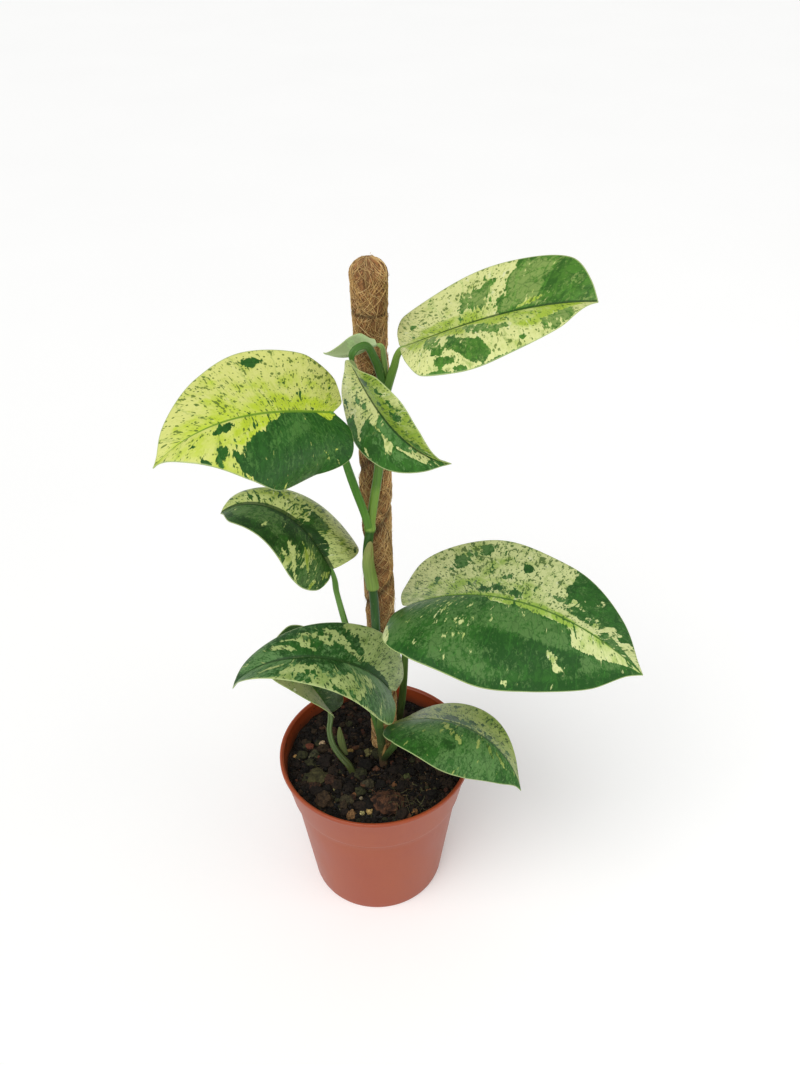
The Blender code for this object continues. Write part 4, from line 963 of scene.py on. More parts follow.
            spot(B.CREAM, 0.83, -0.40, 0.28, 0.010, 0.05),
            spot(B.CREAM, 0.86, -0.55, 0.16, 0.008, 0.05),
            Mark(B.SILVER, ((0.84, 0.0), (0.84, -0.34), (0.92, -0.4), (1.0, -0.4), (1.0, 0.0)), 1.8, 0.9),
            Mark(B.LIME, ((0.1, -0.005), (0.1, -0.06), (0.6, -0.07), (0.85, -0.05), (0.85, 0.0)), 1.0, 0.8),
            Mark(B.SILVER, ((0.12, 0.60), (0.14, 0.98), (0.32, 0.98), (0.32, 0.66)), 4.0, 0.9),
            Mark(B.MOTTLED, ((0.16, 0.02), (0.16, 0.62), (0.46, 0.66), (0.50, 0.4), (0.46, 0.02)), 4.0, 0.9),
            Mark(B.SILVER, ((0.38, 0.62), (0.40, 0.92), (0.56, 0.92), (0.54, 0.64)), 4.0, 0.7),
            Mark(B.SILVER, ((0.50, 0.08), (0.50, 0.40), (0.62, 0.46), (0.78, 0.42), (0.80, 0.10)), 3.0, 0.9),
            Mark(B.DARK, ((0.50, 0.44), (0.52, 0.74), (0.66, 0.80), (0.80, 0.76), (0.80, 0.46),
                          (0.66, 0.42)), 2.2, 0.75),
            Mark(B.SILVER, ((0.80, 0.44), (0.80, 0.68), (0.90, 0.66), (0.90, 0.44)), 2.4, 0.9),
            Mark(B.DARK, ((0.30, 0.90), (0.30, 1.1), (1.0, 1.1), (0.9, 0.78), (0.7, 0.86), (0.5, 0.94)),
                 1.6, 0.8),
            Mark(B.LIME, ((0.46, 0.01), (0.50, 0.07), (0.90, 0.12), (0.92, 0.01)), 1.2, 0.95),
            Mark(B.PALE, ((0.74, 0.10), (0.76, 0.36), (0.92, 0.5), (1.0, 0.4), (1.0, 0.02), (0.8, 0.02)),
                 2.0, 0.8),
            spot(B.CREAM, 0.712, 0.55, 0.05, 0.013),
            spot(B.CREAM, 0.735, 0.69, 0.05, 0.013),
            spot(B.CREAM, 0.724, 0.62, 0.06, 0.005, 0.15, 0.7),
            spot(B.CREAM, 0.60, 0.92, 0.03, 0.007),
            spot(B.CREAM, 0.17, 0.86, 0.05, 0.006),
            spot(B.CREAM, 0.22, 0.98, 0.12, 0.05, 0.0, 1.0),
        ),
        speckle_left=1.0, speckle_right=0.6, rows=160, columns=116, quilt=0.16, wave=0.5, seed=8.2,
    ),
    Blade(
        "leaf_low_left", (8.8, -32.8, 186.7), -53, 66, -46, 110.5, 24.5, 28.5, 0.14, 0.18, -0.08,
        92, 88, 12, 11, (15, 38), (12, 12), (-34, -35), (-6, -96), DROOPING_LEAF, B.SILVER, B.PALE,
        (
            Mark(B.GREEN, ((0.0, -0.02), (0.0, -0.4), (0.26, -0.3), (0.3, -0.02)), 2.5, 0.8),
            Mark(B.DARK, ((0.55, -0.03), (0.53, -0.46), (0.70, -0.46), (0.74, -0.03)), 1.8, 0.8),
            Mark(B.DARK, ((0.44, -0.58), (0.44, -0.92), (0.56, -0.92), (0.56, -0.58)), 1.8, 0.7),
            Mark(B.MOTTLED, ((0.22, -0.30), (0.24, -0.98), (0.84, -0.98), (0.80, -0.26)), 4.0, 0.8),
            Mark(B.MARBLED, ((0.50, -0.38), (0.56, -0.95), (0.74, -0.95), (0.70, -0.36)), 3.0, 0.95),
            spot(B.CREAM, 0.53, -0.66, 0.26, 0.010, 0.14),
            spot(B.CREAM, 0.72, -0.62, 0.26, 0.010, 0.12),
            spot(B.CREAM, 0.77, -0.50, 0.24, 0.009, 0.12),
            spot(B.CREAM, 0.34, -0.56, 0.16, 0.008, 0.15),
            spot(B.PALE, 0.64, -0.80, 0.16, 0.012, 0.12),
            spot(B.CREAM, 0.57, -0.55, 0.22, 0.014, 0.12),
            spot(B.CREAM, 0.61, -0.72, 0.22, 0.012, 0.12),
            spot(B.CREAM, 0.46, -0.42, 0.20, 0.010, 0.15),
            spot(B.CREAM, 0.40, -0.70, 0.18, 0.008, 0.15),
            spot(B.CREAM, 0.68, -0.45, 0.22, 0.010, 0.12),
            Mark(B.CREAM, ((0.30, -0.965), (0.30, -1.1), (0.80, -1.1), (0.80, -0.95)), 1.2, 0.9),
            Mark(B.MARBLED, ((0.40, -0.30), (0.44, -0.62), (0.54, -0.55), (0.52, -0.24)), 2.4, 0.7),
            Mark(B.GREEN, ((0.88, 0.0), (0.88, -1.1), (1.02, -1.1), (1.02, 0.0)), 3.0, 0.6),
            # Painted shade: this dark band beside the midrib, from the base towards the middle, stands in for the
            # shadow in the crease of the folded blade.
            Mark(B.DARK, ((0.0, 0.0), (0.02, 0.12), (0.36, 0.17), (0.5, 0.12), (0.5, 0.0)), 1.2, 0.95),
            Mark(B.GREEN, ((0.44, 0.0), (0.47, 0.3), (0.56, 0.7), (0.60, 1.1), (1.02, 1.1), (1.02, 0.0)),
                 1.8),
            spot(B.CREAM, 0.50, 0.20, 0.12, 0.012, 0.35),
            spot(B.CREAM, 0.54, 0.26, 0.10, 0.012, 0.35),
            Mark(B.MARBLED, ((0.56, 0.34), (0.58, 0.70), (0.70, 0.72), (0.70, 0.32)), 1.4, 0.9),
            spot(B.CREAM, 0.62, 0.42, 0.14, 0.012, 0.2),
            spot(B.CREAM, 0.59, 0.56, 0.20, 0.014, 0.2),
            spot(B.CREAM, 0.66, 0.60, 0.18, 0.010, 0.2),
            spot(B.CREAM, 0.71, 0.50, 0.20, 0.010, 0.2),
            spot(B.CREAM, 0.56, 0.36, 0.16, 0.010, 0.3),
            spot(B.PALE, 0.79, 0.62, 0.20, 0.012, 0.15),
            spot(B.CREAM, 0.68, 0.26, 0.14, 0.010, 0.2),
            spot(B.CREAM, 0.755, 0.45, 0.26, 0.016, 0.15),
            Mark(B.SILVER, ((0.78, 0.04), (0.78, 0.95), (0.90, 0.9), (0.92, 0.04)), 3.0, 0.85),
            Mark(B.DARK, ((0.92, 0.0), (0.90, 1.1), (1.02, 1.1), (1.02, 0.0)), 2.5, 0.6),
        ),
        speckle_left=0.6, speckle_right=1.0, lobe_left=-0.05, rows=130, columns=84, quilt=0.15, seed=9.6,
    ),
    Blade(
        "leaf_low_back", (-27.6, 10.5, 126.7), -137, 47, 47, 60.3, 22.5, 32.5, 0.03, 0.31, 0.25,
        10, 30, 40, -37, (25, 8), (19, 40), (-11, -7), (-24, -11), SHADED_LEAF, B.PALE, B.GREEN,
        (
            Mark(B.MARBLED, ((0.2, -0.2), (0.2, -0.7), (0.42, -0.7), (0.42, -0.2)), 4.0, 0.8),
            Mark(B.CREAM, ((0.45, -0.55), (0.45, -1.1), (0.8, -1.1), (0.8, -0.5)), 3.0, 0.8),
            Mark(B.SILVER, ((0.3, 0.2), (0.3, 0.6), (0.6, 0.6), (0.6, 0.2)), 5.0, 0.7),
            Mark(B.DARK, ((0.5, 0.7), (0.5, 1.1), (0.8, 1.1), (0.8, 0.7)), 4.0, 0.6),
        ),
        speckle_left=0.5, speckle_right=0.3, rows=90, columns=64, seed=11.0,
    ),
    Blade(
        "leaf_low_right", (13.8, -24.0, 151.0), 91, 20, -25, 92.5, 37, 37, 0.06, 0.25, -0.08,
        85, 26, -22, 27, (-12, -28), (26, -25), (-11, 51), (-49, -60), LOW_LEAF, B.PALE, B.MOTTLED,
        (
            Mark(B.MARBLED, ((0.0, 0.2), (0.0, -0.75), (0.3, -0.42), (0.5, -0.3), (0.8, -0.3), (0.9, 0.2)),
                 3.5, 0.85),
            Mark(B.DARK, ((0.48, -0.10), (0.50, -0.32), (0.56, -0.32), (0.56, -0.10)), 1.0, 0.9),
            spot(B.DARK, 0.60, -0.16, 0.08, 0.010, 0.1),
            spot(B.DARK, 0.63, -0.35, 0.07, 0.014),
            spot(B.DARK, 0.66, -0.50, 0.07, 0.014),
            spot(B.DARK, 0.67, -0.15, 0.06, 0.014),
            spot(B.DARK, 0.72, -0.24, 0.06, 0.012),
            spot(B.GREEN, 0.55, -0.80, 0.10, 0.016),
            spot(B.GREEN, 0.47, -0.62, 0.10, 0.012),
            spot(B.GREEN, 0.80, -0.50, 0.10, 0.012),
            Mark(B.GREEN, ((0.08, 0.55), (0.08, 1.1), (0.6, 1.1), (0.5, 0.62)), 3.0, 0.9),
            Mark(B.DARK, ((0.08, 0.80), (0.08, 1.1), (0.34, 1.1), (0.34, 0.80)), 2.0, 0.8),
            Mark(B.SILVER, ((0.18, 0.1), (0.2, 0.55), (0.5, 0.6), (0.5, 0.1)), 5.0, 0.7),
            Mark(B.SILVER, ((0.58, 0.28), (0.60, 0.72), (0.78, 0.70), (0.76, 0.26)), 3.0, 0.95),
            spot(B.PALE, 0.52, 0.22, 0.14, 0.010, 0.25),
            spot(B.PALE, 0.57, 0.34, 0.12, 0.010, 0.25),
            spot(B.PALE, 0.74, 0.22, 0.14, 0.012, 0.2),
            spot(B.PALE, 0.81, 0.28, 0.16, 0.012, 0.2),
            spot(B.DARK, 0.55, 0.55, 0.08, 0.028),
            Mark(B.GREEN, ((0.80, 0.5), (0.76, 1.1), (1.02, 1.1), (1.02, 0.4)), 3.0, 0.7),
        ),
        speckle_left=1.1, speckle_right=0.6, rows=120, columns=84, quilt=0.16, wave=0.4, seed=12.4,
    ),
)


@dataclass(frozen=True)
class PlantFinish:
    """Materials of the stems and sheaths, coloured by each point's own tint."""

    roughness: float = 0.42
    streak: float = 0.16

    def stem(self, name: str) -> bpy.types.Material:
        """Return fleshy green skin with fine streaks along it."""
        work = Shader(name, self.roughness)
        flow = work.attribute("flow")
        tint = work.attribute("tint", "Color")
        streaks = work.noise(work.stretch(flow, (1.1, 1.1, 0.035)), 1.0, 4.0, 0.6)
        spots = work.noise(work.stretch(flow, (0.9, 0.9, 0.45)), 1.0, 3.0, 0.6)
        colour = work.blend(work.ramp(streaks, 0.40, 0.70), tint, work.scaled(tint, 1.32), 0.9)
        colour = work.blend(work.ramp(streaks, 0.46, 0.28), colour, work.scaled(tint, 0.70), 0.8)
        colour = work.blend(work.ramp(spots, 0.62, 0.72), colour, (150, 158, 96), 0.35)
        work.colour(colour)
        work.roughness(work.math("MULTIPLY_ADD", work.math("SUBTRACT", spots, 0.5), 0.3, self.roughness))
        work.surface.inputs["Specular IOR Level"].default_value = 0.28
        work.bump(work.math("ADD", streaks, work.math("MULTIPLY", spots, 0.4)), 0.5, 0.30)
        return work.material

    def sheath(self, name: str) -> bpy.types.Material:
        """Return papery sheath skin with long ribs and dry brown streaks."""
        work = Shader(name, 0.55)
        flow = work.attribute("flow")
        tint = work.attribute("tint", "Color")
        ribs = work.noise(work.stretch(flow, (2.2, 0.03, 1.0)), 1.0, 3.0, 0.6)
        dry = work.noise(work.stretch(flow, (0.5, 0.05, 1.0)), 1.0, 4.0, 0.65)
        colour = work.blend(work.ramp(ribs, 0.35, 0.65), work.scaled(tint, 0.82), work.scaled(tint, 1.16))
        colour = work.blend(work.ramp(dry, 0.58, 0.70), colour, (128, 100, 58), 0.75)
        work.colour(colour)
        work.bump(ribs, 0.6, 0.25)
        return work.material


def swept(work: MeshWork, route: np.ndarray, radii: np.ndarray, tints: np.ndarray, sides: int = 24,
          groove: float = 0.0, face: tuple = (0.0, -1.0, 0.0)) -> None:
    """Add a closed tube along a route.

    Args:
        work: the mesh that it is added to.
        route: the middle line's points.
        radii: the radius at each point.
        tints: the linear colour at each point.
        sides: how many sides the tube has.
        groove: how deep the channel on its facing side is, as a share of the radius.
        face: the direction that its channel faces.
    """
    tangent = normalised(np.gradient(route, axis=0))
    facing = np.asarray(face, float)
    facing = normalised(facing - (tangent @ facing)[:, None] * tangent)
    across = np.cross(tangent, facing)
    angles = np.linspace(0.0, math.tau, sides, endpoint=False)
    dip = 1.0 - groove * np.exp(-((np.minimum(angles, math.tau - angles) / 0.42) ** 2))
    dip = dip + 0.35 * groove * np.exp(-(((np.minimum(angles, math.tau - angles) - 0.95) / 0.35) ** 2))
    ring = (np.cos(angles)[None, :, None] * facing[:, None] + np.sin(angles)[None, :, None] * across[:, None])
    points = route[:, None] + ring * (radii[:, None] * dip[None, :])[..., None]
    reach = np.concatenate([[0.0], np.cumsum(np.linalg.norm(np.diff(route, axis=0), axis=1))])
    flow = np.stack([np.cos(angles)[None, :] * radii[:, None], np.sin(angles)[None, :] * radii[:, None],
                     np.repeat(reach[:, None], sides, axis=1)], axis=-1)
    faces = grid_faces(len(route), sides, closed=True)
    last = (len(route) - 1) * sides
    faces.append(tuple(range(sides))[::-1])
    faces.append(tuple(range(last, last + sides)))
    work.add(points, faces, flow=flow.reshape(-1, 3), tint=np.repeat(tints, sides, axis=0))


def zoned(heights: np.ndarray, zones: tuple) -> np.ndarray:
    """Return linear colours for heights, from (height, screen colour) pairs in rising order."""
    levels = [level for level, _ in zones]
    colours = np.array([shade(*colour) for _, colour in zones])
    return np.stack([np.interp(heights, levels, colours[:, part]) for part in range(3)], axis=1)


@dataclass(frozen=True)
class Petiole:
    """One leaf stalk: its leaf, its route, its colours by height and the depth of its channel."""

    leaf: str
    route: tuple
    zones: tuple
    width: float = 2.1
    slim: float = 1.0
    groove: float = 0.22
    face: tuple = (0.0, -1.0, 0.2)


@dataclass
class ClimbingShoot:
    """The shoot that climbs the pole, with its joints, bud and seven petioles."""

    finish: PlantFinish = PlantFinish()
    radius: float = 2.6
    depth: float = 30.0
    joints: tuple = (276.0, 357.0)
    vine: tuple = ((4.8, -5.4, 98), (4.2, -5.0, 110), (2.8, -4.2, 132), (2.6, -3.6, 162),
                   (2.5, -3.2, 192), (2.4, -3.0, 212), (1.3, -3.0, 236), (-1.2, -3.4, 256),
                   (0.8, -3.2, 276), (3.8, -3.0, 297), (6.0, -3.2, 312), (7.8, -3.2, 335),
                   (10.2, -3.4, 357))
    vine_zones: tuple = ((60, (60, 46, 34)), (98, (74, 56, 42)), (112, (66, 76, 42)), (132, (56, 88, 40)),
                         (200, (46, 84, 34)), (236, (44, 80, 32)), (275.0, (50, 88, 32)),
                         (276.6, (118, 152, 60)), (300, (108, 142, 56)), (304, (84, 122, 46)),
                         (352, (76, 114, 42)), (357, (96, 130, 56)))
    bud: tuple = ((5.2, -6.6, 104), (6.0, -8.2, 111), (6.6, -8.8, 117))
    petioles: tuple = (
        Petiole("leaf_top", ((10.2, -3.4, 354), (11.6, -5.6, 361), (14.2, -8.6, 371.5), (17.6, -11.4, 381.6)),
                ((350, (78, 116, 42)), (368, (96, 132, 54)), (384, (120, 150, 66)))),
        Petiole("leaf_upper_left", ((0.8, -3.2, 274), (-1.6, -6.5, 287), (-5.6, -13.5, 306),
                                    (-10.2, -24.0, 331), (-12.9, -33.5, 351), (-14.0, -38.6, 362.6)),
                ((272, (96, 136, 54)), (300, (76, 124, 46)), (340, (66, 114, 40)), (364, (90, 136, 50)))),
        Petiole("leaf_centre", ((10.2, -3.4, 354), (8.6, -5.2, 364), (5.4, -8.4, 376), (0.6, -12.6, 385.0),
                                (-3.6, -16.2, 384.6), (-5.3, -17.6, 382.2)),
                ((352, (72, 110, 40)), (372, (62, 102, 34)), (386, (70, 112, 42)))),
        Petiole("leaf_young", ((10.2, -3.4, 356), (10.0, -4.6, 366), (9.6, -6.0, 375), (8.0, -7.2, 382.3)),
                ((352, (104, 136, 60)), (384, (136, 164, 92))), slim=0.75, groove=0.15),
        Petiole("leaf_mid_left", ((3.4, -4.6, 120), (-0.4, -3.4, 140), (-7.0, -1.8, 172),
                                  (-14.2, -2.8, 208), (-18.4, -7.0, 236), (-20.3, -13.5, 256.6)),
                ((118, (64, 92, 40)), (160, (86, 124, 54)), (240, (98, 140, 62)), (257, (84, 124, 52)))),
        Petiole("leaf_low_left", ((3.0, -4.4, 128), (4.2, -10.0, 143), (6.6, -20.0, 163), (8.6, -30.6, 183.6)),
                ((124, (70, 98, 44)), (150, (96, 122, 62)), (184, (84, 112, 58)))),
        Petiole("leaf_low_right", ((4.6, -5.2, 100), (7.2, -9.0, 109), (11.6, -14.8, 123),
                                   (13.3, -20.2, 138), (13.6, -23.4, 148.2)),
                ((96, (58, 52, 34)), (108, (52, 66, 34)), (124, (62, 88, 40)), (149, (88, 116, 60)))),
    )

    def build(self, blades: dict) -> bpy.types.Object:
        """Return the shoot as one piece of overlapping skins."""
        work = MeshWork()
        foot = (self.vine[0][0], self.vine[0][1], self.vine[0][2] - self.depth)
        route = through((foot,) + self.vine, 1.0)
        radii = np.full(len(route), self.radius) - 0.2 * step_between(90, 357, route[:, 2])
        for joint in self.joints:
            away = route[:, 2] - joint
            radii = radii + 0.75 * np.exp(-((away / 2.4) ** 2)) - 0.35 * np.exp(-(((away + 2.6) / 0.7) ** 2))
        for ring in (150.0, 196.0):
            radii = radii + 0.3 * np.exp(-(((route[:, 2] - ring) / 1.0) ** 2))
        radii[-3:] *= (0.9, 0.7, 0.3)
        swept(work, route, radii, zoned(route[:, 2], self.vine_zones), 32, 0.10)
        for petiole in self.petioles:
            self.stalk(work, petiole, blades[petiole.leaf])
        route = through(self.bud, 0.5)
        share = np.linspace(0.0, 1.0, len(route))
        swept(work, route, 0.3 + 1.4 * np.sqrt(1 - share**2) * (1 - 0.3 * share),
              zoned(route[:, 2], ((104, (92, 78, 44)), (110, (150, 122, 72)), (117, (128, 92, 52)))), 16)
        made = work.piece("climbing_shoot_skin", [self.finish.stem("stem_skin")])
        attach(made, "root")
        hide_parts("climbing_shoot")
        return made

    def stalk(self, work: MeshWork, petiole: Petiole, blade: Blade) -> None:
        """Add one petiole that runs on into its blade."""
        route = petiole_line(petiole.route, blade)
        radii = petiole_radii(len(route), petiole.width * petiole.slim, petiole.slim)
        swept(work, route, radii, zoned(route[:, 2], petiole.zones), 24, petiole.groove, petiole.face)


def petiole_line(route: tuple, blade: Blade) -> np.ndarray:
    """Return a petiole's middle line, led on to the foot of its blade's midrib."""
    spine = blade.midrib()[0]
    inside = np.array(blade.base) * 0.35 + spine[1] * 0.65
    return through(tuple(route) + (tuple(inside),), 0.9)


def petiole_radii(count: int, width: float, slim: float) -> np.ndarray:
    """Return a petiole's radii: full at the foot, a short swollen neck under the blade, then a taper."""
    share = np.linspace(0.0, 1.0, count)
    radii = np.interp(share, (0.0, 0.45, 0.85, 1.0), (width, width, 1.55 * slim, 1.15 * slim))
    neck = 0.22 * slim * np.exp(-(((share - 0.90) / 0.05) ** 2))
    radii = radii + neck
    radii[-3:] *= (0.95, 0.8, 0.35)
    return radii


@dataclass
class SingleShoot:
    """A shoot that is one petiole from the soil to its leaf."""

    name: str
    leaf: str
    route: tuple
    radius: float
    zones: tuple
    finish: PlantFinish = PlantFinish()
    depth: float = 30.0
    groove: float = 0.30
    face: tuple = (0.0, -1.0, 0.2)

    def build(self, blades: dict) -> bpy.types.Object:
        """Return the shoot."""
        work = MeshWork()
        foot = (self.route[0][0], self.route[0][1], self.route[0][2] - self.depth)
        route = petiole_line((foot,) + self.route, blades[self.leaf])
        share = np.linspace(0.0, 1.0, len(route))
        low, high = self.radius, 1.2
        radii = np.interp(share, (0.0, 0.5, 0.9, 1.0), (low, low - 0.15, 1.6, high))
        radii = radii + 0.25 * np.exp(-(((share - 0.94) / 0.03) ** 2))
        radii[-3:] *= (0.95, 0.8, 0.35)
        swept(work, route, radii, zoned(route[:, 2], self.zones), 28, self.groove, self.face)
        made = work.piece(f"{self.name}_skin", [self.finish.stem(f"{self.name}_skin")])
        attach(made, "root")
        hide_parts(self.name)
        return made


SINGLE_SHOOTS = (
    SingleShoot("right_shoot", "leaf_right",
                ((15.8, 25.0, 98), (16.2, 23.6, 108), (17.6, 18.5, 126), (18.8, 10.0, 156),
                 (19.4, 0.0, 188), (20.4, -11.5, 216), (21.3, -18.6, 233.4)), 2.4,
                ((60, (60, 48, 34)), (98, (66, 64, 36)), (124, (60, 84, 38)), (160, (84, 112, 52)),
                 (237, (104, 138, 66)))),
    SingleShoot("left_shoot", "leaf_low_back",
                ((-14.6, -12.6, 98), (-16.4, -11.8, 103), (-21.0, -8.6, 107.5), (-26.2, -3.0, 113.0),
                 (-28.2, 3.4, 119.2), (-27.5, 9.9, 126.0)), 2.2,
                ((60, (58, 48, 32)), (100, (66, 72, 36)), (112, (72, 92, 46)), (127, (96, 118, 66))),
                groove=0.42),
)


def lined_sheath(name: str, rows: np.ndarray, thickness: float, tints: np.ndarray,
                 finish: PlantFinish) -> bpy.types.Object:
    """Return a thin closed sheath lofted through rows of points.

    Args:
        name: the CAD node it stands for.
        rows: an array of rows and columns of points.
        thickness: how thick it is.
        tints: the linear colour of each row.
        finish: its material.

    Returns:
        The object, riding on the body.
    """
    count, wide = rows.shape[:2]
    normal = normalised(np.cross(np.gradient(rows, axis=1), np.gradient(rows, axis=0)))
    reach = np.concatenate([np.zeros((count, 1)),
                            np.cumsum(np.linalg.norm(np.diff(rows, axis=1), axis=2), axis=1)], axis=1)
    ribs = 0.10 * np.cos(reach * 5.2)
    thin = thickness * (1 - 0.45 * np.abs(np.linspace(-1, 1, wide)) ** 4)[None, :]
    outer = rows + normal * (thin / 2 + ribs)[..., None]
    inner = rows - normal * (thin / 2 - ribs)[..., None]
    along = np.repeat(np.arange(count)[:, None] * 1.0, wide, axis=1)
    flow = np.stack([reach, along, np.zeros_like(reach)], axis=-1).reshape(-1, 3)
    tint = np.repeat(tints, wide, axis=0)
    work = MeshWork()
    faces = grid_faces(count, wide)
    total = count * wide
    border = [row * wide for row in range(count)]
    border += [(count - 1) * wide + column for column in range(1, wide)]
    border += [row * wide + wide - 1 for row in range(count - 2, -1, -1)]
    border += [column for column in range(wide - 2, 0, -1)]
    both = faces + [tuple(corner + total for corner in face[::-1]) for face in faces]
    for start, end in zip(border, border[1:] + border[:1]):
        both.append((start, end, end + total, start + total))
    work.add(np.concatenate([outer.reshape(-1, 3), inner.reshape(-1, 3)]), both,
             flow=np.concatenate([flow, flow]), tint=np.concatenate([tint, tint]))
    made = work.piece(f"{name}_skin", [finish.sheath(f"{name}_skin")])
    weld = bmesh.new()
    weld.from_mesh(made.data)
    bmesh.ops.recalc_face_normals(weld, faces=weld.faces)
    weld.to_mesh(made.data)
    weld.free()
    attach(made, "root")
    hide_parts(name)
    return made


@dataclass
class Sheaths:
    """The dry sheath clasping the vine, and the small one beside the left shoot."""

    vine: tuple
    span: tuple = (236.0, 270.0)
    radius: float = 3.4
    small_route: tuple = ((-18.2, -6.5, 106.5), (-20.4, -4.5, 113), (-21.4, -2.8, 120), (-21.6, -2.2, 127))
    small_width: float = 4.2
    finish: PlantFinish = PlantFinish()

    def build(self) -> None:
        """Build both sheaths."""
        line = through(self.vine, 2.0)
        low, high = self.span
        rows = []
        heights = []
        for share in np.linspace(0.0, 1.0, 40):
            height = low + (high - low) * share
            centre = np.array([np.interp(height, line[:, 2], line[:, axis]) for axis in range(3)])
            half = math.radians(100.0 * (1.0 - share) ** 0.6 + 8.0)
            middle = math.radians(-62.0 - 18.0 * share)
            angles = np.linspace(middle - half, middle + half, 25)
            lip = 0.25 * step_between(0.72, 1.0, share)
            ring = np.stack([np.cos(angles), np.sin(angles), np.zeros(25)], axis=1)
            rows.append(centre + ring * (self.radius + lip))
            heights.append(height)
        tints = zoned(np.array(heights), ((236, (120, 150, 62)), (248, (116, 142, 60)),
                                          (262, (136, 150, 76)), (270, (150, 146, 86))))
        lined_sheath("stem_sheath", np.array(rows), 0.5, tints, self.finish)
        spine = through(self.small_route, 0.6)
        rows = []
        for share, point in zip(np.linspace(0.0, 1.0, len(spine)), spine):
            half = 0.5 * self.small_width * math.sin(math.pi * (0.18 + 0.78 * share)) + 0.15
            across = np.linspace(-1.0, 1.0, 15)
            rows.append(point + np.stack([half * across, 0.35 * half * across**2, 0 * across], axis=1))
        tints = zoned(spine[:, 2], ((106, (72, 80, 38)), (116, (88, 102, 50)), (127, (104, 114, 60))))
        lined_sheath("left_sheath", np.array(rows), 0.5, tints, self.finish)


@dataclass(frozen=True)
class CoirFinish:
    """Brown fibres, coloured by each point's own tint, which carries painted shade."""

    roughness: float = 0.82

    def fibre(self, name: str) -> bpy.types.Material:
        """Return dry fibre."""
        work = Shader(name, self.roughness)
        place = work.places()
        tint = work.attribute("tint", "Color")
        patch = work.noise(place, 90.0, 4.0, 0.6)
        hair = work.noise(work.stretch(place, (1.0, 1.0, 0.25)), 1500.0, 3.0, 0.6)
        colour = work.blend(work.ramp(patch, 0.35, 0.7), work.scaled(tint, 0.84), work.scaled(tint, 1.18))
        colour = work.blend(work.ramp(hair, 0.3, 0.7), work.scaled(colour, 0.80), colour)
        work.colour(colour)
        work.bump(hair, 0.6, 0.2)
        return work.material


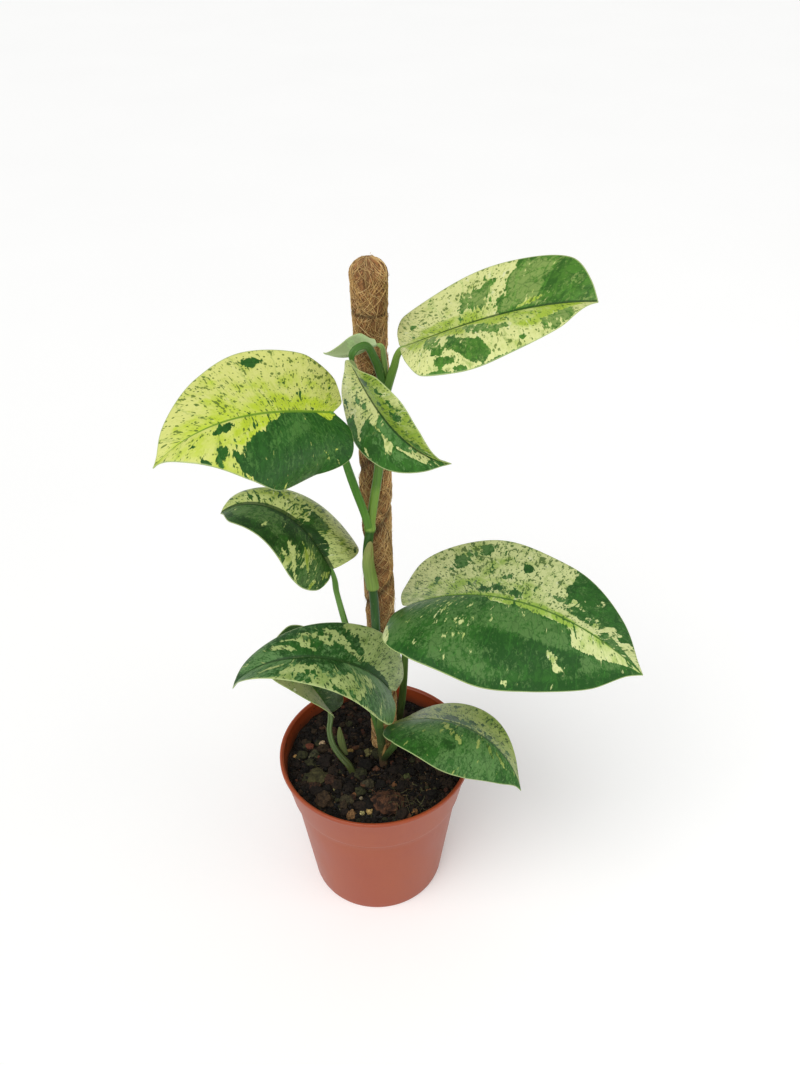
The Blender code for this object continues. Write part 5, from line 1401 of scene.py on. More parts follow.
@dataclass
class CoirPole:
    """The coir pole: a rough body, the fibres laid round it and the loose ones standing off."""

    finish: CoirFinish = CoirFinish()
    foot: tuple = (6.2, 12.0)
    soil_top: float = 94.0
    lean: tuple = (-0.0085, -0.0092)
    top: float = 419.0
    wrap_foot: float = 68.0
    radius: float = 8.0
    head_radius: float = 8.9
    head: float = 26.0
    pinch_pitch: float = 45.0
    pinch_depth: float = 1.25
    fibres: int = 3200
    strays: int = 230
    seed: int = 41

    def centre(self, heights: np.ndarray) -> np.ndarray:
        """Return the pole's middle at heights."""
        rise = heights - self.soil_top
        return np.stack([self.foot[0] + self.lean[0] * rise, self.foot[1] + self.lean[1] * rise, heights], -1)

    def reach(self, heights: np.ndarray, angles: np.ndarray) -> tuple:
        """Return the wrap's radius and how deep in a pinch each place is."""
        rise = heights - self.soil_top - 8.0
        turn = (math.tau * rise / self.pinch_pitch - angles) % math.tau
        pinch = np.exp(-((np.minimum(turn, math.tau - turn) / 0.40) ** 2))
        grown = np.clip(rise / 10.0, 0.0, 1.0)
        head = np.clip((heights - self.top + self.head + 8.0) / 8.0, 0.0, 1.0)
        swell = 0.35 * np.sin(heights / 11.0 + 2.0 * np.sin(angles)) * grown
        body = self.radius + (swell - self.pinch_depth * pinch * (1.0 - head)) * grown
        seam = np.exp(-(((heights - self.top + self.head) / 0.9) ** 2))
        body = body + (self.head_radius - self.radius) * head - 0.55 * seam
        dome = self.top - self.head_radius
        above = np.clip((heights - dome) / self.head_radius, 0.0, 0.998)
        body = np.where(heights > dome, self.head_radius * np.sqrt(1 - above**2), body)
        return body, pinch * (1.0 - head) * grown + seam

    def tint(self, draw: np.random.Generator, pinch: np.ndarray, angles: np.ndarray) -> np.ndarray:
        """Return fibre colours: golden, brown and reddish, with painted shade that darkens them in the pinches and on
        the left side.
        """
        palette = np.array([shade(*c) for c in ((250, 218, 156), (236, 198, 132), (214, 172, 108),
                                                (178, 134, 80), (182, 128, 74), (134, 94, 54))])
        chance = (0.17, 0.27, 0.26, 0.15, 0.08, 0.07)
        picked = palette[draw.choice(len(palette), size=pinch.shape[0], p=chance)]
        # Painted shade: the fibres are darkened in the pinches of the wrap and on the pole's left side.
        painted_shade = 1.0 - 0.58 * pinch - 0.16 * (1 + np.cos(angles - math.pi)) / 2
        return picked[:, None, :] * painted_shade[..., None]

    def strand(self, heights: np.ndarray, angles: np.ndarray, offset: np.ndarray, width: np.ndarray,
               tint: np.ndarray, work: MeshWork) -> None:
        """Add three-sided fibres that follow heights and angles, one row each."""
        count, steps = heights.shape
        body, _ = self.reach(heights, angles)
        out = np.stack([np.cos(angles), np.sin(angles), np.zeros_like(angles)], axis=-1)
        line = self.centre(heights) + out * (body + offset)[..., None]
        tangent = normalised(np.gradient(line, axis=1))
        side = normalised(np.cross(tangent, out))
        lift = np.cross(side, tangent)
        taper = np.sin(np.linspace(0.12, math.pi - 0.12, steps)) ** 0.35
        rings = []
        for turn in (math.pi / 2, math.pi / 2 + math.tau / 3, math.pi / 2 + 2 * math.tau / 3):
            reach = math.cos(turn) * side + math.sin(turn) * lift
            rings.append(line + reach * (width[:, None] * taper)[..., None])
        points = np.stack(rings, axis=2).reshape(-1, 3)
        faces = []
        for strand in range(count):
            start = strand * steps * 3
            for step in range(steps - 1):
                here = start + step * 3
                for edge in range(3):
                    after = (edge + 1) % 3
                    faces.append((here + edge, here + after, here + 3 + after, here + 3 + edge))
            last = start + (steps - 1) * 3
            faces.append((start, start + 1, start + 2))
            faces.append((last + 2, last + 1, last))
        work.add(points, faces, tint=np.repeat(tint.reshape(-1, 3), 3, axis=0))

    def core(self) -> bpy.types.Object:
        """Return the rough body under the fibres, with painted shade in its hollows and pinches."""
        heights = np.concatenate([np.arange(self.wrap_foot, self.top - self.head_radius, 1.1),
                                  self.top - self.head_radius * (1 - np.sin(np.linspace(0.02, 1.54, 16)))])
        angles = np.linspace(0.0, math.tau, 72, endpoint=False)
        tall, round_ = np.meshgrid(heights, angles, indexing="ij")
        body, pinch = self.reach(tall, round_)
        out = np.stack([np.cos(round_), np.sin(round_), np.zeros_like(round_)], axis=-1)
        rough = np.array([noise.fractal(Vector((6 * math.cos(a), 6 * math.sin(a), h / 2.2)), 1.0, 2.0, 4)
                          for h, a in zip(tall.ravel(), round_.ravel())]).reshape(tall.shape)
        points = self.centre(tall) + out * (np.maximum(body - 0.45 + 0.45 * rough, 0.1))[..., None]
        dark = np.array(shade(158, 112, 68))
        # Painted shade, along with random tone: the core is darker where the noise sinks it and in the pinches,
        # lighter where the noise pushes it out.
        tint = dark * (1.0 + 0.55 * rough[..., None] - 0.45 * pinch[..., None])
        work = MeshWork()
        faces = grid_faces(len(heights), 72, closed=True)
        faces.append(tuple(range(72))[::-1])
        faces.append(tuple(range((len(heights) - 1) * 72, len(heights) * 72)))
        work.add(points, faces, tint=np.clip(tint, 0.005, 1.0).reshape(-1, 3))
        return work.piece("coir_body", [self.finish.fibre("coir_body")])

    def build(self) -> None:
        """Build the pole."""
        draw = np.random.default_rng(self.seed)
        body = self.core()
        material = self.finish.fibre("coir_fibres")
        steps = 11
        share = np.linspace(-0.5, 0.5, steps)[None, :]
        start = draw.uniform(self.soil_top - 2.0, self.top - 1.5, self.fibres)
        around = draw.uniform(0.0, math.tau, self.fibres)
        length = draw.uniform(9.0, 30.0, self.fibres)
        slope = np.radians(draw.normal(58.0, 20.0, self.fibres)) * draw.choice((-1, 1), self.fibres)
        rise = length * np.abs(np.sin(slope))
        turn = length * np.cos(slope) * np.sign(slope) / self.radius
        bow = draw.normal(0.0, 0.16, self.fibres)
        heights = start[:, None] + rise[:, None] * share
        heights = np.clip(heights, self.soil_top - 4.0, self.top - 0.05)
        angles = around[:, None] + turn[:, None] * share + bow[:, None] * np.cos(share * math.pi)
        _, pinch = self.reach(heights, angles)
        offset = draw.uniform(-0.25, 0.30, self.fibres)[:, None] + 0.12 * np.sin(share * 9 + around[:, None])
        laid = MeshWork()
        self.strand(heights, angles, offset, draw.uniform(0.10, 0.22, self.fibres),
                    self.tint(draw, pinch, angles), laid)
        strands = laid.piece("coir_laid_fibres", [material])
        count = self.strays
        start = draw.uniform(self.soil_top + 4.0, self.top - 3.0, count)
        around = draw.uniform(0.0, math.tau, count)
        share = np.linspace(0.0, 1.0, steps)[None, :]
        rise = draw.normal(0.0, 7.0, count)
        turn = draw.normal(0.0, 0.6, count)
        stand = draw.uniform(0.4, 2.6, count) * draw.uniform(0.4, 1.0, count)
        heights = np.clip(start[:, None] + rise[:, None] * share, self.soil_top, self.top + 1.5)
        angles = around[:, None] + turn[:, None] * share
        offset = stand[:, None] * share**1.7 + 0.1
        loose = MeshWork()
        self.strand(heights, angles, offset, draw.uniform(0.06, 0.12, count),
                    self.tint(draw, np.zeros((count, steps)), angles), loose)
        strays = loose.piece("coir_stray_fibres", [material])
        for made in (body, strands, strays):
            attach(made, "root")
            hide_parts("coir_wrap")


@dataclass(frozen=True)
class SoilFinish:
    """Damp potting soil and what lies in it."""

    def ground(self, name: str) -> bpy.types.Material:
        """Return near-black crumbly soil with brown and mossy patches and painted shade in the gaps between crumbs."""
        work = Shader(name, 0.9)
        place = work.places()
        patch = work.noise(place, 70.0, 5.0, 0.6)
        grain = work.noise(place, 900.0, 4.0, 0.7)
        crumbs = work.cells(place, 520.0)
        # The near-black base is the damp soil's own colour and also painted shade for the hollows between lumps.
        colour = work.blend(work.ramp(patch, 0.35, 0.68), (14, 10, 7), (40, 29, 20))
        colour = work.blend(work.ramp(grain, 0.56, 0.72), colour, (70, 52, 36), 0.6)
        moss = work.ramp(work.noise(place, 120.0, 4.0, 0.7), 0.60, 0.72)
        colour = work.blend(moss, colour, (62, 66, 30), 0.7)
        # Painted shade: the colour drops to 0.55 at the cell edges, in the gaps between crumbs.
        colour = work.blend(work.ramp(crumbs, 0.7, 0.2), work.scaled(colour, 0.55), colour)
        work.colour(colour)
        work.roughness(work.ramp(grain, 0.75, 0.15))
        work.surface.inputs["Specular IOR Level"].default_value = 0.25
        work.bump(work.math("ADD", grain, work.math("MULTIPLY", crumbs, -1.2)), 0.9, 0.8)
        return work.material

    def crumb(self, name: str) -> bpy.types.Material:
        """Return the material of crumbs, bark and grit, coloured by each point's tint."""
        work = Shader(name, 0.88)
        place = work.places()
        tint = work.attribute("tint", "Color")
        grain = work.noise(place, 1100.0, 4.0, 0.7)
        wood = work.noise(work.stretch(place, (1.0, 0.22, 1.0)), 800.0, 4.0, 0.65)
        colour = work.blend(work.ramp(grain, 0.35, 0.65), work.scaled(tint, 0.66), work.scaled(tint, 1.25))
        colour = work.blend(work.ramp(wood, 0.45, 0.6), work.scaled(colour, 0.72), colour)
        work.colour(colour)
        work.surface.inputs["Specular IOR Level"].default_value = 0.3
        work.bump(grain, 0.7, 0.4)
        return work.material


@dataclass
class Soil:
    """The soil with its crumbs, bark chips, reddish lump, grit and fine roots."""

    finish: SoilFinish = SoilFinish()
    top: float = 94.0
    mound: float = 2.5
    relief: float = 1.3
    rim: float = 60.0
    reach: float = 56.0
    chips: int = 24
    chip_seed: int = 7
    chip_sink: float = 0.4
    lump_place: tuple = (6.0, -37.0)
    lump_size: tuple = (9.8, 7.8, 5.6)
    crumbs: int = 3000
    clods_count: int = 330
    known: tuple = ((-37.0, -13.5, 5.4, (70, 66, 38)), (-32.0, -33.0, 6.0, (60, 45, 29)),
                    (-18.5, -34.0, 4.6, (64, 57, 38)), (-39.0, 5.0, 3.8, (66, 66, 44)),
                    (-5.0, 4.0, 3.4, (108, 102, 64)), (-16.0, 6.0, 2.2, (158, 128, 72)),
                    (-34.3, 14.2, 2.2, (184, 158, 126)), (-51.0, 4.5, 1.5, (184, 144, 86)),
                    (-25.0, -24.0, 1.8, (130, 122, 78)), (-31.5, -3.0, 1.4, (168, 148, 92)),
                    (-4.8, -42.5, 2.0, (178, 148, 90)), (-9.0, -43.5, 1.7, (162, 150, 100)),
                    (-9.5, -31.5, 1.4, (158, 140, 112)), (-15.5, -44.0, 3.0, (122, 90, 56)),
                    (18.0, -46.5, 2.4, (110, 68, 42)), (0.0, -9.5, 2.1, (96, 62, 44)),
                    (33.7, -30.5, 1.8, (124, 68, 42)), (22.5, -43.0, 1.8, (132, 92, 52)),
                    (19.0, -17.0, 2.6, (70, 74, 42)), (-5.0, -22.0, 3.2, (68, 62, 44)))
    seed: int = 23

    def surface(self, x: float, y: float) -> float:
        """Return the height of the CAD soil's surface at a place."""
        spread = min(1.0, math.hypot(x, y) / self.rim)
        mound = self.mound * (1.0 - spread**2) * (1.0 - 0.4 * y / self.rim)
        bumps = noise.noise(Vector((x / 9.0, y / 9.0, 0.4)))
        bumps += 0.5 * noise.noise(Vector((x / 4.0, y / 4.0, 2.1)))
        return self.top + mound + self.relief * bumps

    def clods(self, x: float, y: float) -> float:
        """Return the fine lumps on top of the surface."""
        coarse = noise.fractal(Vector((x / 3.2, y / 3.2, 5.0)), 0.9, 2.1, 5)
        cells = noise.voronoi(Vector((x / 3.8, y / 3.8, 1.0)))[0][0]
        broad = noise.noise(Vector((x / 6.5, y / 6.5, 9.0)))
        return 0.75 * coarse + 1.5 * (0.42 - cells) + 0.9 * broad

    def ground(self, wall: list) -> bpy.types.Object:
        """Return the body of soil: a fine lumpy top over the form of the pot's inside."""
        radii = np.concatenate([[0.0], np.linspace(0.5, self.reach, 100)])
        angles = np.linspace(0.0, math.tau, 220, endpoint=False)
        points, faces = [], []
        for radius in radii[1:]:
            for angle in angles:
                x, y = radius * math.cos(angle), radius * math.sin(angle)
                fade = min(1.0, (self.reach - radius) / 1.5)
                points.append((x, y, self.surface(x, y) + fade * self.clods(x, y)))
        for radius, height in wall:
            points.extend((radius * math.cos(angle), radius * math.sin(angle), height) for angle in angles)
        rings = len(radii) - 1 + len(wall)
        faces = grid_faces(rings, len(angles), closed=True)
        last = (rings - 1) * len(angles)
        faces.append(tuple(range(len(angles)))[::-1])
        faces.append(tuple(range(last, last + len(angles))))
        work = MeshWork()
        work.add(np.array(points), faces)
        made = work.piece("soil_ground", [self.finish.ground("damp_soil")])
        turn = bmesh.new()
        turn.from_mesh(made.data)
        bmesh.ops.recalc_face_normals(turn, faces=turn.faces)
        turn.to_mesh(made.data)
        turn.free()
        return made

    @staticmethod
    def stone(levels: int) -> tuple:
        """Return the points and faces of a round pebble."""
        work = bmesh.new()
        bmesh.ops.create_icosphere(work, subdivisions=levels, radius=1.0)
        points = np.array([corner.co for corner in work.verts])
        faces = [tuple(corner.index for corner in face.verts) for face in work.faces]
        work.free()
        return points, faces

    def lumps(self) -> bpy.types.Object:
        """Return the fine crumbs and grit strewn over the surface."""
        draw = np.random.default_rng(self.seed)
        small, small_faces = self.stone(1)
        large, large_faces = self.stone(2)
        work = MeshWork()
        palette = [shade(*c) for c in ((12, 9, 6), (22, 16, 11), (40, 29, 20), (66, 48, 32), (56, 56, 30),
                                       (112, 86, 56), (136, 126, 100), (78, 46, 32))]
        chance = np.array((0.34, 0.28, 0.16, 0.08, 0.06, 0.03, 0.02, 0.03))
        for index in range(self.crumbs):
            radius = (self.reach - 2.0) * math.sqrt(draw.random())
            angle = draw.uniform(0.0, math.tau)
            x, y = radius * math.cos(angle), radius * math.sin(angle)
            kind = draw.choice(len(palette), p=chance)
            size = draw.uniform(0.25, 0.9) if index % 4 else draw.uniform(0.8, 1.7)
            if kind in (5, 6):
                size = min(size, 0.7)
            shape, faces = (large, large_faces) if size > 0.9 else (small, small_faces)
            stretch = draw.uniform(0.55, 1.25, 3) * size
            jag = 1.0 + draw.normal(0.0, 0.13, (len(shape), 1))
            spin = np.array(Matrix.Rotation(draw.uniform(0, math.tau), 3, draw.normal(size=3).tolist()))
            points = (shape * jag * stretch) @ spin.T
            points = points + (x, y, self.surface(x, y) + self.clods(x, y) + 0.2 * size)
            tint = np.array(palette[kind]) * draw.uniform(0.75, 1.3)
            work.add(points, faces, tint=np.tile(tint, (len(points), 1)))
        return work.piece("soil_crumbs", [self.finish.crumb("soil_crumbs")], smooth=False)

    def clumps(self) -> bpy.types.Object:
        """Return the larger clods, the mossy lumps and the pale wood chips."""
        draw = np.random.default_rng(self.seed + 2)
        shape, faces = self.stone(3)
        work = MeshWork()
        palette = ((20, 15, 10), (30, 22, 15), (42, 31, 21), (54, 42, 27), (50, 50, 28), (62, 40, 28))
        chance = (0.28, 0.26, 0.18, 0.12, 0.09, 0.07)
        clumps = [(x, y, size, tone) for x, y, size, tone in self.known]
        for _ in range(self.clods_count):
            size = draw.uniform(1.3, 2.3) if draw.random() < 0.7 else draw.uniform(2.3, 4.2)
            radius = (self.reach - 1.0 - size) * math.sqrt(draw.random())
            angle = draw.uniform(0.0, math.tau)
            tone = palette[draw.choice(len(palette), p=chance)]
            clumps.append((radius * math.cos(angle), radius * math.sin(angle), size, tone))
        for index, (x, y, size, tone) in enumerate(clumps):
            knobs = np.array([noise.noise(Vector(p * 1.5 + index)) for p in shape])
            grit = np.array([noise.noise(Vector(p * 4.2 + 3 * index)) for p in shape])
            rough = 1.0 + 0.42 * knobs + 0.20 * grit
            stretch = draw.uniform(0.75, 1.15, 3) * size * (1.0, 1.0, 0.72)
            spin = np.array(Matrix.Rotation(draw.uniform(0, math.tau), 3, "Z"))
            points = (shape * rough[:, None] * stretch) @ spin.T
            points = points + (x, y, self.surface(x, y) + 0.5 * self.clods(x, y) + 0.15 * size)
            # Painted light and shade, along with random tone: the noise that dents and bulges each clod darkens its
            # dips and lightens its bumps.
            tint = np.array(shade(*tone)) * (1.0 + 0.9 * grit[:, None] + 0.5 * knobs[:, None])
            work.add(points, faces, tint=np.clip(tint, 0.001, 1.0))
        return work.piece("soil_clumps", [self.finish.crumb("soil_clumps")], smooth=False)

    def bark(self, keep_off: list) -> bpy.types.Object:
        """Return the bark chips of the CAD soil, and the reddish lump at the front."""
        draw = random.Random(self.chip_seed)
        shape, faces = self.stone(3)
        work = MeshWork()
        tones = ((126, 84, 54), (98, 64, 42), (74, 50, 34), (150, 108, 68), (60, 44, 32), (112, 60, 42))
        made = 0
        while made < self.chips:
            angle, radius = draw.uniform(0, math.tau), 48.0 * math.sqrt(draw.random())
            x, y = radius * math.cos(angle), radius * math.sin(angle)
            if any(math.hypot(x - px, y - py) < gap for px, py, gap in keep_off):
                continue
            keep_off.append((x, y, 6.5))
            size = draw.uniform(1.6, 3.2)
            turn = Matrix.Rotation(draw.uniform(0, math.tau), 3, "Z")
            turn = turn @ Matrix.Rotation(draw.uniform(-0.5, 0.5), 3, "X")
            rough = np.array([noise.fractal(Vector(p * 1.7 + made), 1.0, 2.0, 3) for p in shape])
            flat = np.sign(shape) * np.abs(shape) ** 0.72
            points = flat * (1 + 0.22 * rough[:, None]) * np.array((size, size * 0.7, size * 0.45))
            points = points @ np.array(turn).T + (x, y, self.surface(x, y) - self.chip_sink + 0.5)
            tint = np.array(shade(*tones[made % len(tones)]))
            work.add(points, faces, tint=np.tile(tint, (len(points), 1)))
            made += 1
        x, y = self.lump_place
        shape, faces = self.stone(5)
        rough = np.array([noise.fractal(Vector(p * 2.4), 0.8, 2.2, 6) for p in shape])
        points = shape * (1 + 0.16 * rough[:, None]) * np.array(self.lump_size)
        points = points + (x, y, self.surface(x, y) + 1.0)
        # The lump's own reddish brown, with painted shade: the noise that bulges it makes the bulges red and the dips
        # dark brown.
        red, brown = np.array(shade(98, 64, 43)), np.array(shade(40, 27, 19))
        share = step_between(-0.4, 0.5, rough)[:, None]
        work.add(points, faces, tint=brown + (red - brown) * share)
        return work.piece("soil_bark", [self.finish.crumb("soil_bark")], smooth=True)

    def roots(self) -> bpy.types.Object:
        """Return the loose fibres and fine roots lying on the soil."""
        draw = np.random.default_rng(self.seed + 1)
        work = MeshWork()
        tones = ((104, 102, 70), (84, 78, 48), (92, 60, 40), (120, 100, 70), (66, 54, 38))
        for index in range(110):
            if index < 34:
                x, y = draw.uniform(10, 34), draw.uniform(-46, -22)
            elif index < 74:
                x, y = self.lump_place[0] + draw.normal(0, 6.5), self.lump_place[1] + draw.normal(0, 5.5)
            else:
                x, y = draw.uniform(-40, 40), draw.uniform(-40, 40)
            heading = draw.uniform(0.0, math.tau)
            length = draw.uniform(4.0, 13.0) if index < 34 else draw.uniform(2.0, 7.0)
            line = []
            for share in np.linspace(0.0, 1.0, 12):
                if math.hypot(x, y) > self.reach - 2.0:
                    heading += 1.2
                near = math.hypot((x - self.lump_place[0]) / self.lump_size[0],
                                  (y - self.lump_place[1]) / self.lump_size[1])
                cap = self.lump_size[2] * math.sqrt(max(0.0, 1.0 - near**2)) + 1.0 if near < 1 else 0.0
                lift = 0.5 + 1.2 * math.sin(share * math.pi) * draw.uniform(0.5, 1.0)
                height = self.surface(x, y) + max(self.clods(x, y), cap) + lift
                line.append((x, y, height))
                heading += draw.normal(0.0, 0.28)
                x += math.cos(heading) * length / 11
                y += math.sin(heading) * length / 11
            route = np.array(line)
            route[:, 2] = np.convolve(np.pad(route[:, 2], 1, mode="edge"), (0.25, 0.5, 0.25), "valid")
            width = draw.uniform(0.10, 0.22) * np.sin(np.linspace(0.3, math.pi - 0.15, 12)) ** 0.5
            tone = np.array(shade(*tones[draw.integers(len(tones)) if index >= 34 else index % 2]))
            if 34 <= index < 74:
                tone = np.array(shade(*tones[2])) * draw.uniform(0.6, 1.3)
            tangent = normalised(np.gradient(route, axis=0))
            side = normalised(np.cross(tangent, UP))
            lift = np.cross(side, tangent)
            turns = np.linspace(0.0, math.tau, 5, endpoint=False)
            ring = np.cos(turns)[None, :, None] * side[:, None] + np.sin(turns)[None, :, None] * lift[:, None]
            points = route[:, None] + ring * width[:, None, None]
            faces = grid_faces(12, 5, closed=True) + [(4, 3, 2, 1, 0), (55, 56, 57, 58, 59)]
            work.add(points, faces, tint=np.tile(tone, (60, 1)))
        return work.piece("soil_roots", [self.finish.crumb("soil_roots")])

    def build(self, pot: "Pot", feet: list) -> None:
        """Build the soil and everything on it."""
        wall = pot.inside(0.3, self.top - 1.0)[::-1]
        pieces = [self.ground(wall), self.lumps(), self.clumps(), self.bark(feet), self.roots()]
        for made in pieces:
            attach(made, "root")
            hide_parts("soil")


@dataclass(frozen=True)
class PotFinish:
    """Thin moulded plastic in terracotta orange, dusty, with soil stains and painted shade darkening the inner wall
    near the soil.
    """

    colour: tuple = (150, 62, 27)
    pale: tuple = (164, 84, 48)
    dark: tuple = (104, 40, 21)
    roughness: float = 0.40

    def plastic(self, name: str) -> bpy.types.Material:
        """Return the pot's material."""
        work = Shader(name, self.roughness)
        place = work.places()
        cloud = work.noise(place, 26.0, 4.0, 0.55)
        fine = work.noise(place, 620.0, 3.0, 0.6)
        drag = work.noise(work.stretch(place, (1.0, 1.0, 0.12)), 240.0, 4.0, 0.6)
        colour = work.blend(work.ramp(cloud, 0.3, 0.7), self.colour, self.pale, 0.40)
        colour = work.blend(work.ramp(drag, 0.55, 0.8), colour, self.pale, 0.30)
        colour = work.blend(work.ramp(fine, 0.62, 0.75), colour, self.dark, 0.35)
        height = work.height(place)
        geometry = work.node("ShaderNodeNewGeometry")
        facing = work.node("ShaderNodeVectorMath", operation="DOT_PRODUCT")
        work.feed(facing.inputs[0], geometry.outputs["Normal"])
        work.feed(facing.inputs[1], geometry.outputs["Position"])
        inside = work.ramp(facing.outputs["Value"], 0.0, -0.02)
        above = work.ramp(height, 0.088, 0.0915)
        # Soil stains and painted shade: the inner wall is darkened in a band round the soil line, fading upwards.
        stain_and_shade = work.ramp(work.math("ADD", height, work.math("MULTIPLY", cloud, 0.012)), 0.107, 0.099)
        stain_and_shade = work.math("MULTIPLY", work.math("MULTIPLY", stain_and_shade, inside), above)
        colour = work.blend(stain_and_shade, colour, (74, 44, 30), 0.8)
        specks = work.ramp(work.noise(place, 420.0, 2.0, 0.5), 0.66, 0.70)
        colour = work.blend(work.math("MULTIPLY", specks, inside), colour, (40, 28, 20), 0.8)
        work.colour(colour)
        work.surface.inputs["Specular IOR Level"].default_value = 0.4
        rough = work.math("MULTIPLY_ADD", work.math("SUBTRACT", cloud, 0.5), 0.25, self.roughness)
        work.roughness(rough)
        work.bump(work.math("ADD", fine, work.math("MULTIPLY", drag, 0.8)), 0.18, 0.15)
        return work.material


@dataclass
class Pot:
    """The thin nursery pot with its collar, lip and drain holes."""

    finish: PotFinish = PotFinish()
    height: float = 105.0
    rim_radius: float = 60.0
    rim_depth: float = 2.8
    wall: float = 1.6
    floor: float = 2.0
    collar_height: float = 28.5
    collar_foot: float = 54.0
    collar_step: float = 1.5
    base_radius: float = 42.5
    holes: int = 8
    hole_radius: float = 4.0
    hole_circle: float = 29.0
    turns: int = 180

    def radius(self, height: float) -> float:
        """Return the outer radius at a height, without the lip."""
        step = self.height - self.collar_height
        if height >= step:
            share = (height - step) / (self.collar_height - self.rim_depth)
            return self.collar_foot + share * (self.rim_radius - 1.2 - self.collar_foot)
        return self.base_radius + (self.collar_foot - self.collar_step - self.base_radius) * height / step

    def inside(self, clearance: float = 0.0, top: float = 104.0) -> list:
        """Return the inside from the floor's edge up, drawn in by a clearance."""
        step = self.height - self.collar_height
        inset = self.wall + clearance
        return [
            (self.radius(self.floor) - inset, self.floor + clearance),
            (self.radius(step - 1.5) - inset, step - 1.5),
            (self.radius(step + 1.0) - inset, step + 1.0),
            (self.radius(top) - inset, top),
        ]

    def profile(self) -> list:
        """Return the section with rounded corners, from the middle of the floor round to the base."""
        step = self.height - self.collar_height
        under = self.height - self.rim_depth
        inner = [(r, h) for r, h in self.inside()]
        start = inner[0]
        points = [(0.0, self.floor), (start[0] - 2.0, self.floor), (start[0] - 0.6, self.floor + 0.15)]
        points += [(start[0] + 0.05, self.floor + 0.9)] + inner[1:]
        points += [(self.rim_radius - 1.95, self.height - 0.6), (self.rim_radius - 1.6, self.height - 0.12),
                   (self.rim_radius - 1.15, self.height), (self.rim_radius - 0.6, self.height - 0.06),
                   (self.rim_radius - 0.18, self.height - 0.35), (self.rim_radius, self.height - 0.85),
                   (self.rim_radius, under + 0.5), (self.rim_radius - 0.3, under + 0.05),
                   (self.radius(under) + 0.1, under - 0.15), (self.radius(under - 1.5), under - 1.5)]
        points += [(self.radius(level), level) for level in np.linspace(under - 4, step + 4, 6)]
        points += [(self.radius(step + 1.2), step + 1.2), (self.radius(step) + 0.02, step + 0.45),
                   (self.radius(step) - 0.35, step + 0.05), (self.radius(step - 0.5) + 0.3, step - 0.3),
                   (self.radius(step - 1.2), step - 1.2)]
        points += [(self.radius(level), level) for level in np.linspace(step - 6, 6, 12)]
        points += [(self.radius(1.6), 1.6), (self.radius(0.5) - 0.15, 0.5), (self.base_radius - 0.7, 0.08),
                   (self.base_radius - 1.5, 0.0), (self.base_radius - 4.0, 0.0),
                   (self.base_radius - 4.6, 0.5), (8.0, 0.5), (7.4, 0.2), (0.0, 0.2)]
        return points

    def build(self) -> bpy.types.Object:
        """Return the pot, turned from its section and drilled."""
        section = self.profile()
        mesh = bpy.data.meshes.new("pot_section")
        corners = [(r * MM, 0.0, h * MM) for r, h in section]
        mesh.from_pydata(corners, [(i, i + 1) for i in range(len(corners) - 1)], [])
        pot = bpy.data.objects.new("nursery_pot", mesh)
        bpy.context.scene.collection.objects.link(pot)
        screw = pot.modifiers.new("turn", "SCREW")
        screw.angle = math.tau
        screw.steps = self.turns
        screw.render_steps = self.turns
        screw.use_merge_vertices = True
        screw.merge_threshold = 0.00001
        screw.use_normal_calculate = True
        drills = MeshWork()
        for index in range(self.holes):
            angle = math.tau * (index + 0.5) / self.holes
            x, y = self.hole_circle * math.cos(angle), self.hole_circle * math.sin(angle)
            turns = np.linspace(0.0, math.tau, 28, endpoint=False)
            rings = np.concatenate([np.stack([x + self.hole_radius * np.cos(turns),
                                              y + self.hole_radius * np.sin(turns),
                                              np.full(28, level)], axis=1) for level in (-3.0, 6.0)])
            drills.add(rings, grid_faces(2, 28, closed=True) + [tuple(range(28))[::-1],
                                                                tuple(range(28, 56))])
        drill = drills.piece("pot_drills", [])
        cut = pot.modifiers.new("drain", "BOOLEAN")
        cut.operation = "DIFFERENCE"
        cut.solver = "EXACT"
        cut.object = drill
        evaluated = pot.evaluated_get(bpy.context.evaluated_depsgraph_get())
        solid = bpy.data.meshes.new_from_object(evaluated)
        pot.modifiers.clear()
        pot.data = solid
        bpy.data.objects.remove(drill, do_unlink=True)
        solid.materials.clear()
        solid.materials.append(self.finish.plastic("terracotta_plastic_fine"))
        solid.shade_smooth()
        solid.set_sharp_from_angle(angle=math.radians(38))
        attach(pot, "root")
        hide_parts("pot")
        return pot


def dress_stick() -> None:
    """Give the stick inside the pole its wood."""
    work = Shader("stick_wood_grain", 0.7)
    place = work.places()
    grain = work.noise(work.stretch(place, (1.0, 1.0, 0.05)), 500.0, 5.0, 0.6)
    rings = work.noise(work.stretch(place, (1.0, 1.0, 0.02)), 160.0, 3.0, 0.5)
    colour = work.blend(work.ramp(grain, 0.35, 0.7), (150, 112, 70), (196, 158, 108))
    colour = work.blend(work.ramp(rings, 0.5, 0.6), colour, (120, 84, 50), 0.5)
    work.colour(colour)
    work.bump(grain, 0.4, 0.3)
    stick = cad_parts["pole_stick"]
    for place_in in stick.material_slots:
        place_in.material = work.material


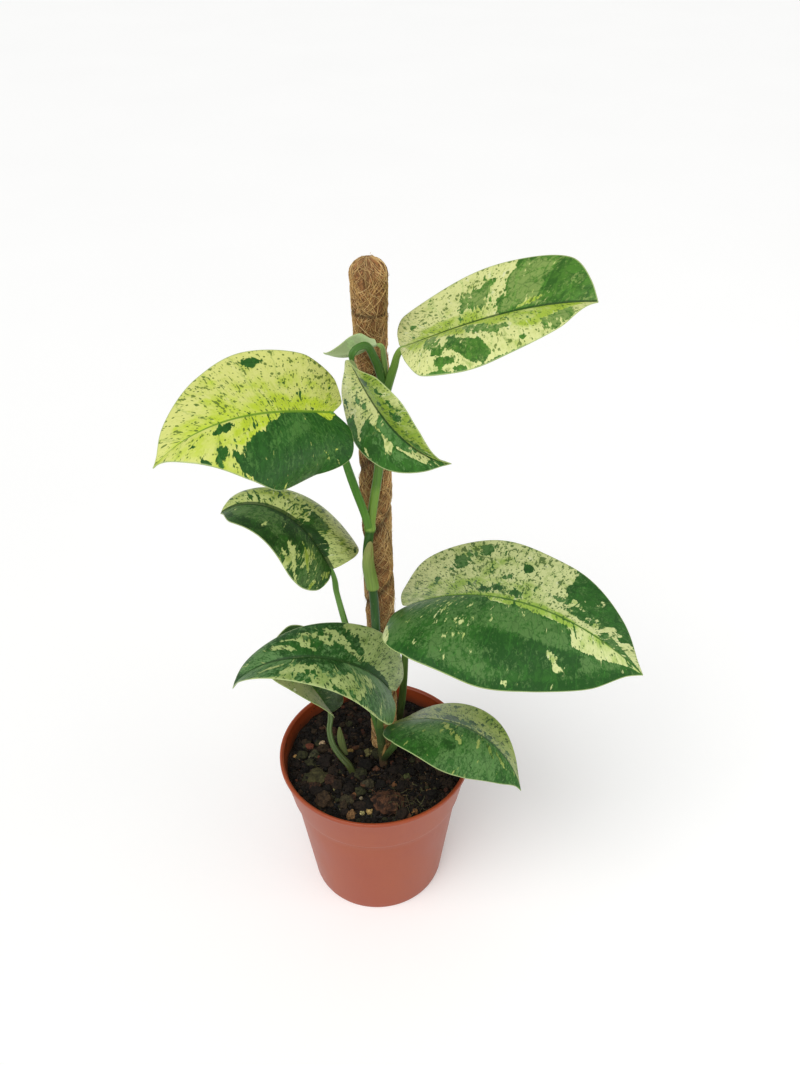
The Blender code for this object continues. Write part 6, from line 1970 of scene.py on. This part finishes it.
@dataclass
class Studio:
    """Pale floor, soft light and the photograph's camera."""

    image_height: float = 1065.0
    focal: float = 1000.0
    place: tuple = (0.0, -437.0, 579.0)
    pitch: float = 35.2
    yaw: float = 2.2
    roll: float = -0.5
    sensor: float = 36.0

    def camera(self) -> None:
        """Place the camera at the photograph's viewpoint."""
        pitch, yaw, roll = (math.radians(value) for value in (self.pitch, self.yaw, self.roll))
        forward = Vector((math.sin(yaw) * math.cos(pitch), math.cos(yaw) * math.cos(pitch), -math.sin(pitch)))
        right = forward.cross(Vector((0, 0, 1))).normalized()
        up = right.cross(forward)
        right, up = (math.cos(roll) * right + math.sin(roll) * up, math.cos(roll) * up - math.sin(roll) * right)
        data = bpy.data.cameras.new("photo_camera")
        data.sensor_fit = "AUTO"
        data.sensor_width = self.sensor
        data.lens = self.focal * self.sensor / self.image_height
        data.clip_start = 0.01
        data.clip_end = 200.0
        made = bpy.data.objects.new("photo_camera", data)
        turn = Matrix((right, up, -forward)).transposed().to_4x4()
        made.matrix_world = Matrix.Translation(Vector(self.place) * MM) @ turn
        bpy.context.scene.collection.objects.link(made)
        bpy.context.scene.camera = made

    def lamp(self, name: str, place: tuple, aim: tuple, size: float, power: float) -> None:
        """Add one soft square light."""
        data = bpy.data.lights.new(name, "AREA")
        data.shape = "SQUARE"
        data.size = size
        data.energy = power
        made = bpy.data.objects.new(name, data)
        made.location = place
        made.rotation_euler = (Vector(aim) - Vector(place)).to_track_quat("-Z", "Y").to_euler()
        bpy.context.scene.collection.objects.link(made)

    def sun(self, name: str, place: tuple, spread: float, power: float) -> None:
        """Add one broad distant light that shines from a place towards the origin."""
        data = bpy.data.lights.new(name, "SUN")
        data.angle = math.radians(spread)
        data.energy = power
        made = bpy.data.objects.new(name, data)
        made.location = place
        made.rotation_euler = (-Vector(place)).to_track_quat("-Z", "Y").to_euler()
        bpy.context.scene.collection.objects.link(made)

    def floor(self) -> None:
        """Add the plain pale floor."""
        work = MeshWork()
        work.add(np.array([(-40000, -40000, 0), (40000, -40000, 0), (40000, 40000, 0), (-40000, 40000, 0)], float),
                 [(0, 1, 2, 3)])
        floor = Shader("pale_floor", 0.8)
        floor.colour(floor.blend(floor.noise(floor.places(), 3.0), (248, 248, 247), (252, 252, 251)))
        floor.surface.inputs["Emission Color"].default_value = (1.0, 1.0, 1.0, 1.0)
        floor.surface.inputs["Emission Strength"].default_value = 0.08
        work.piece("floor", [floor.material])

    def build(self) -> None:
        """Set up the whole studio."""
        self.camera()
        self.floor()
        self.sun("key_light", (-0.50, -0.80, 1.25), 55.0, 2.0)
        self.lamp("fill_light", (0.95, -0.55, 0.75), (0.0, 0.0, 0.20), 0.8, 2.4)
        world = bpy.data.worlds.new("pale_room")
        world.use_nodes = True
        sky = world.node_tree.nodes["Background"]
        sky.inputs["Color"].default_value = (1.0, 1.0, 1.0, 1.0)
        sky.inputs["Strength"].default_value = 0.44
        bpy.context.scene.world = world
        bpy.context.scene.view_settings.view_transform = "Standard"


def corners(bounds: tuple) -> list:
    """Return a box as plain lists of numbers."""
    return [[float(value) for value in corner] for corner in bounds]


def main() -> None:
    """Build the potted plant and its studio."""
    logging.basicConfig(level=logging.INFO)
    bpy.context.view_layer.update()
    Studio().build()
    pot = Pot()
    pot.build()
    shoot = ClimbingShoot()
    feet = [(4.8, -5.4, 8.0), (15.8, 25.0, 8.0), (-14.6, -12.6, 8.0)]
    feet += [(-16.4, -11.8, 6.0), (-21.0, -8.6, 6.0), (-26.2, -3.0, 6.0)]
    feet += [(6.2, 12.0, 15.9), (6.0, -37.0, 13.0)]
    Soil().build(pot, feet)
    CoirPole().build()
    dress_stick()
    blades = {blade.name: blade for blade in BLADES}
    for blade in BLADES:
        blade.build()
        LOG.info("built %s", blade.name)
    shoot.build(blades)
    for single in SINGLE_SHOOTS:
        single.build(blades)
    Sheaths(shoot.vine).build()


if __name__ == "__main__":
    main()
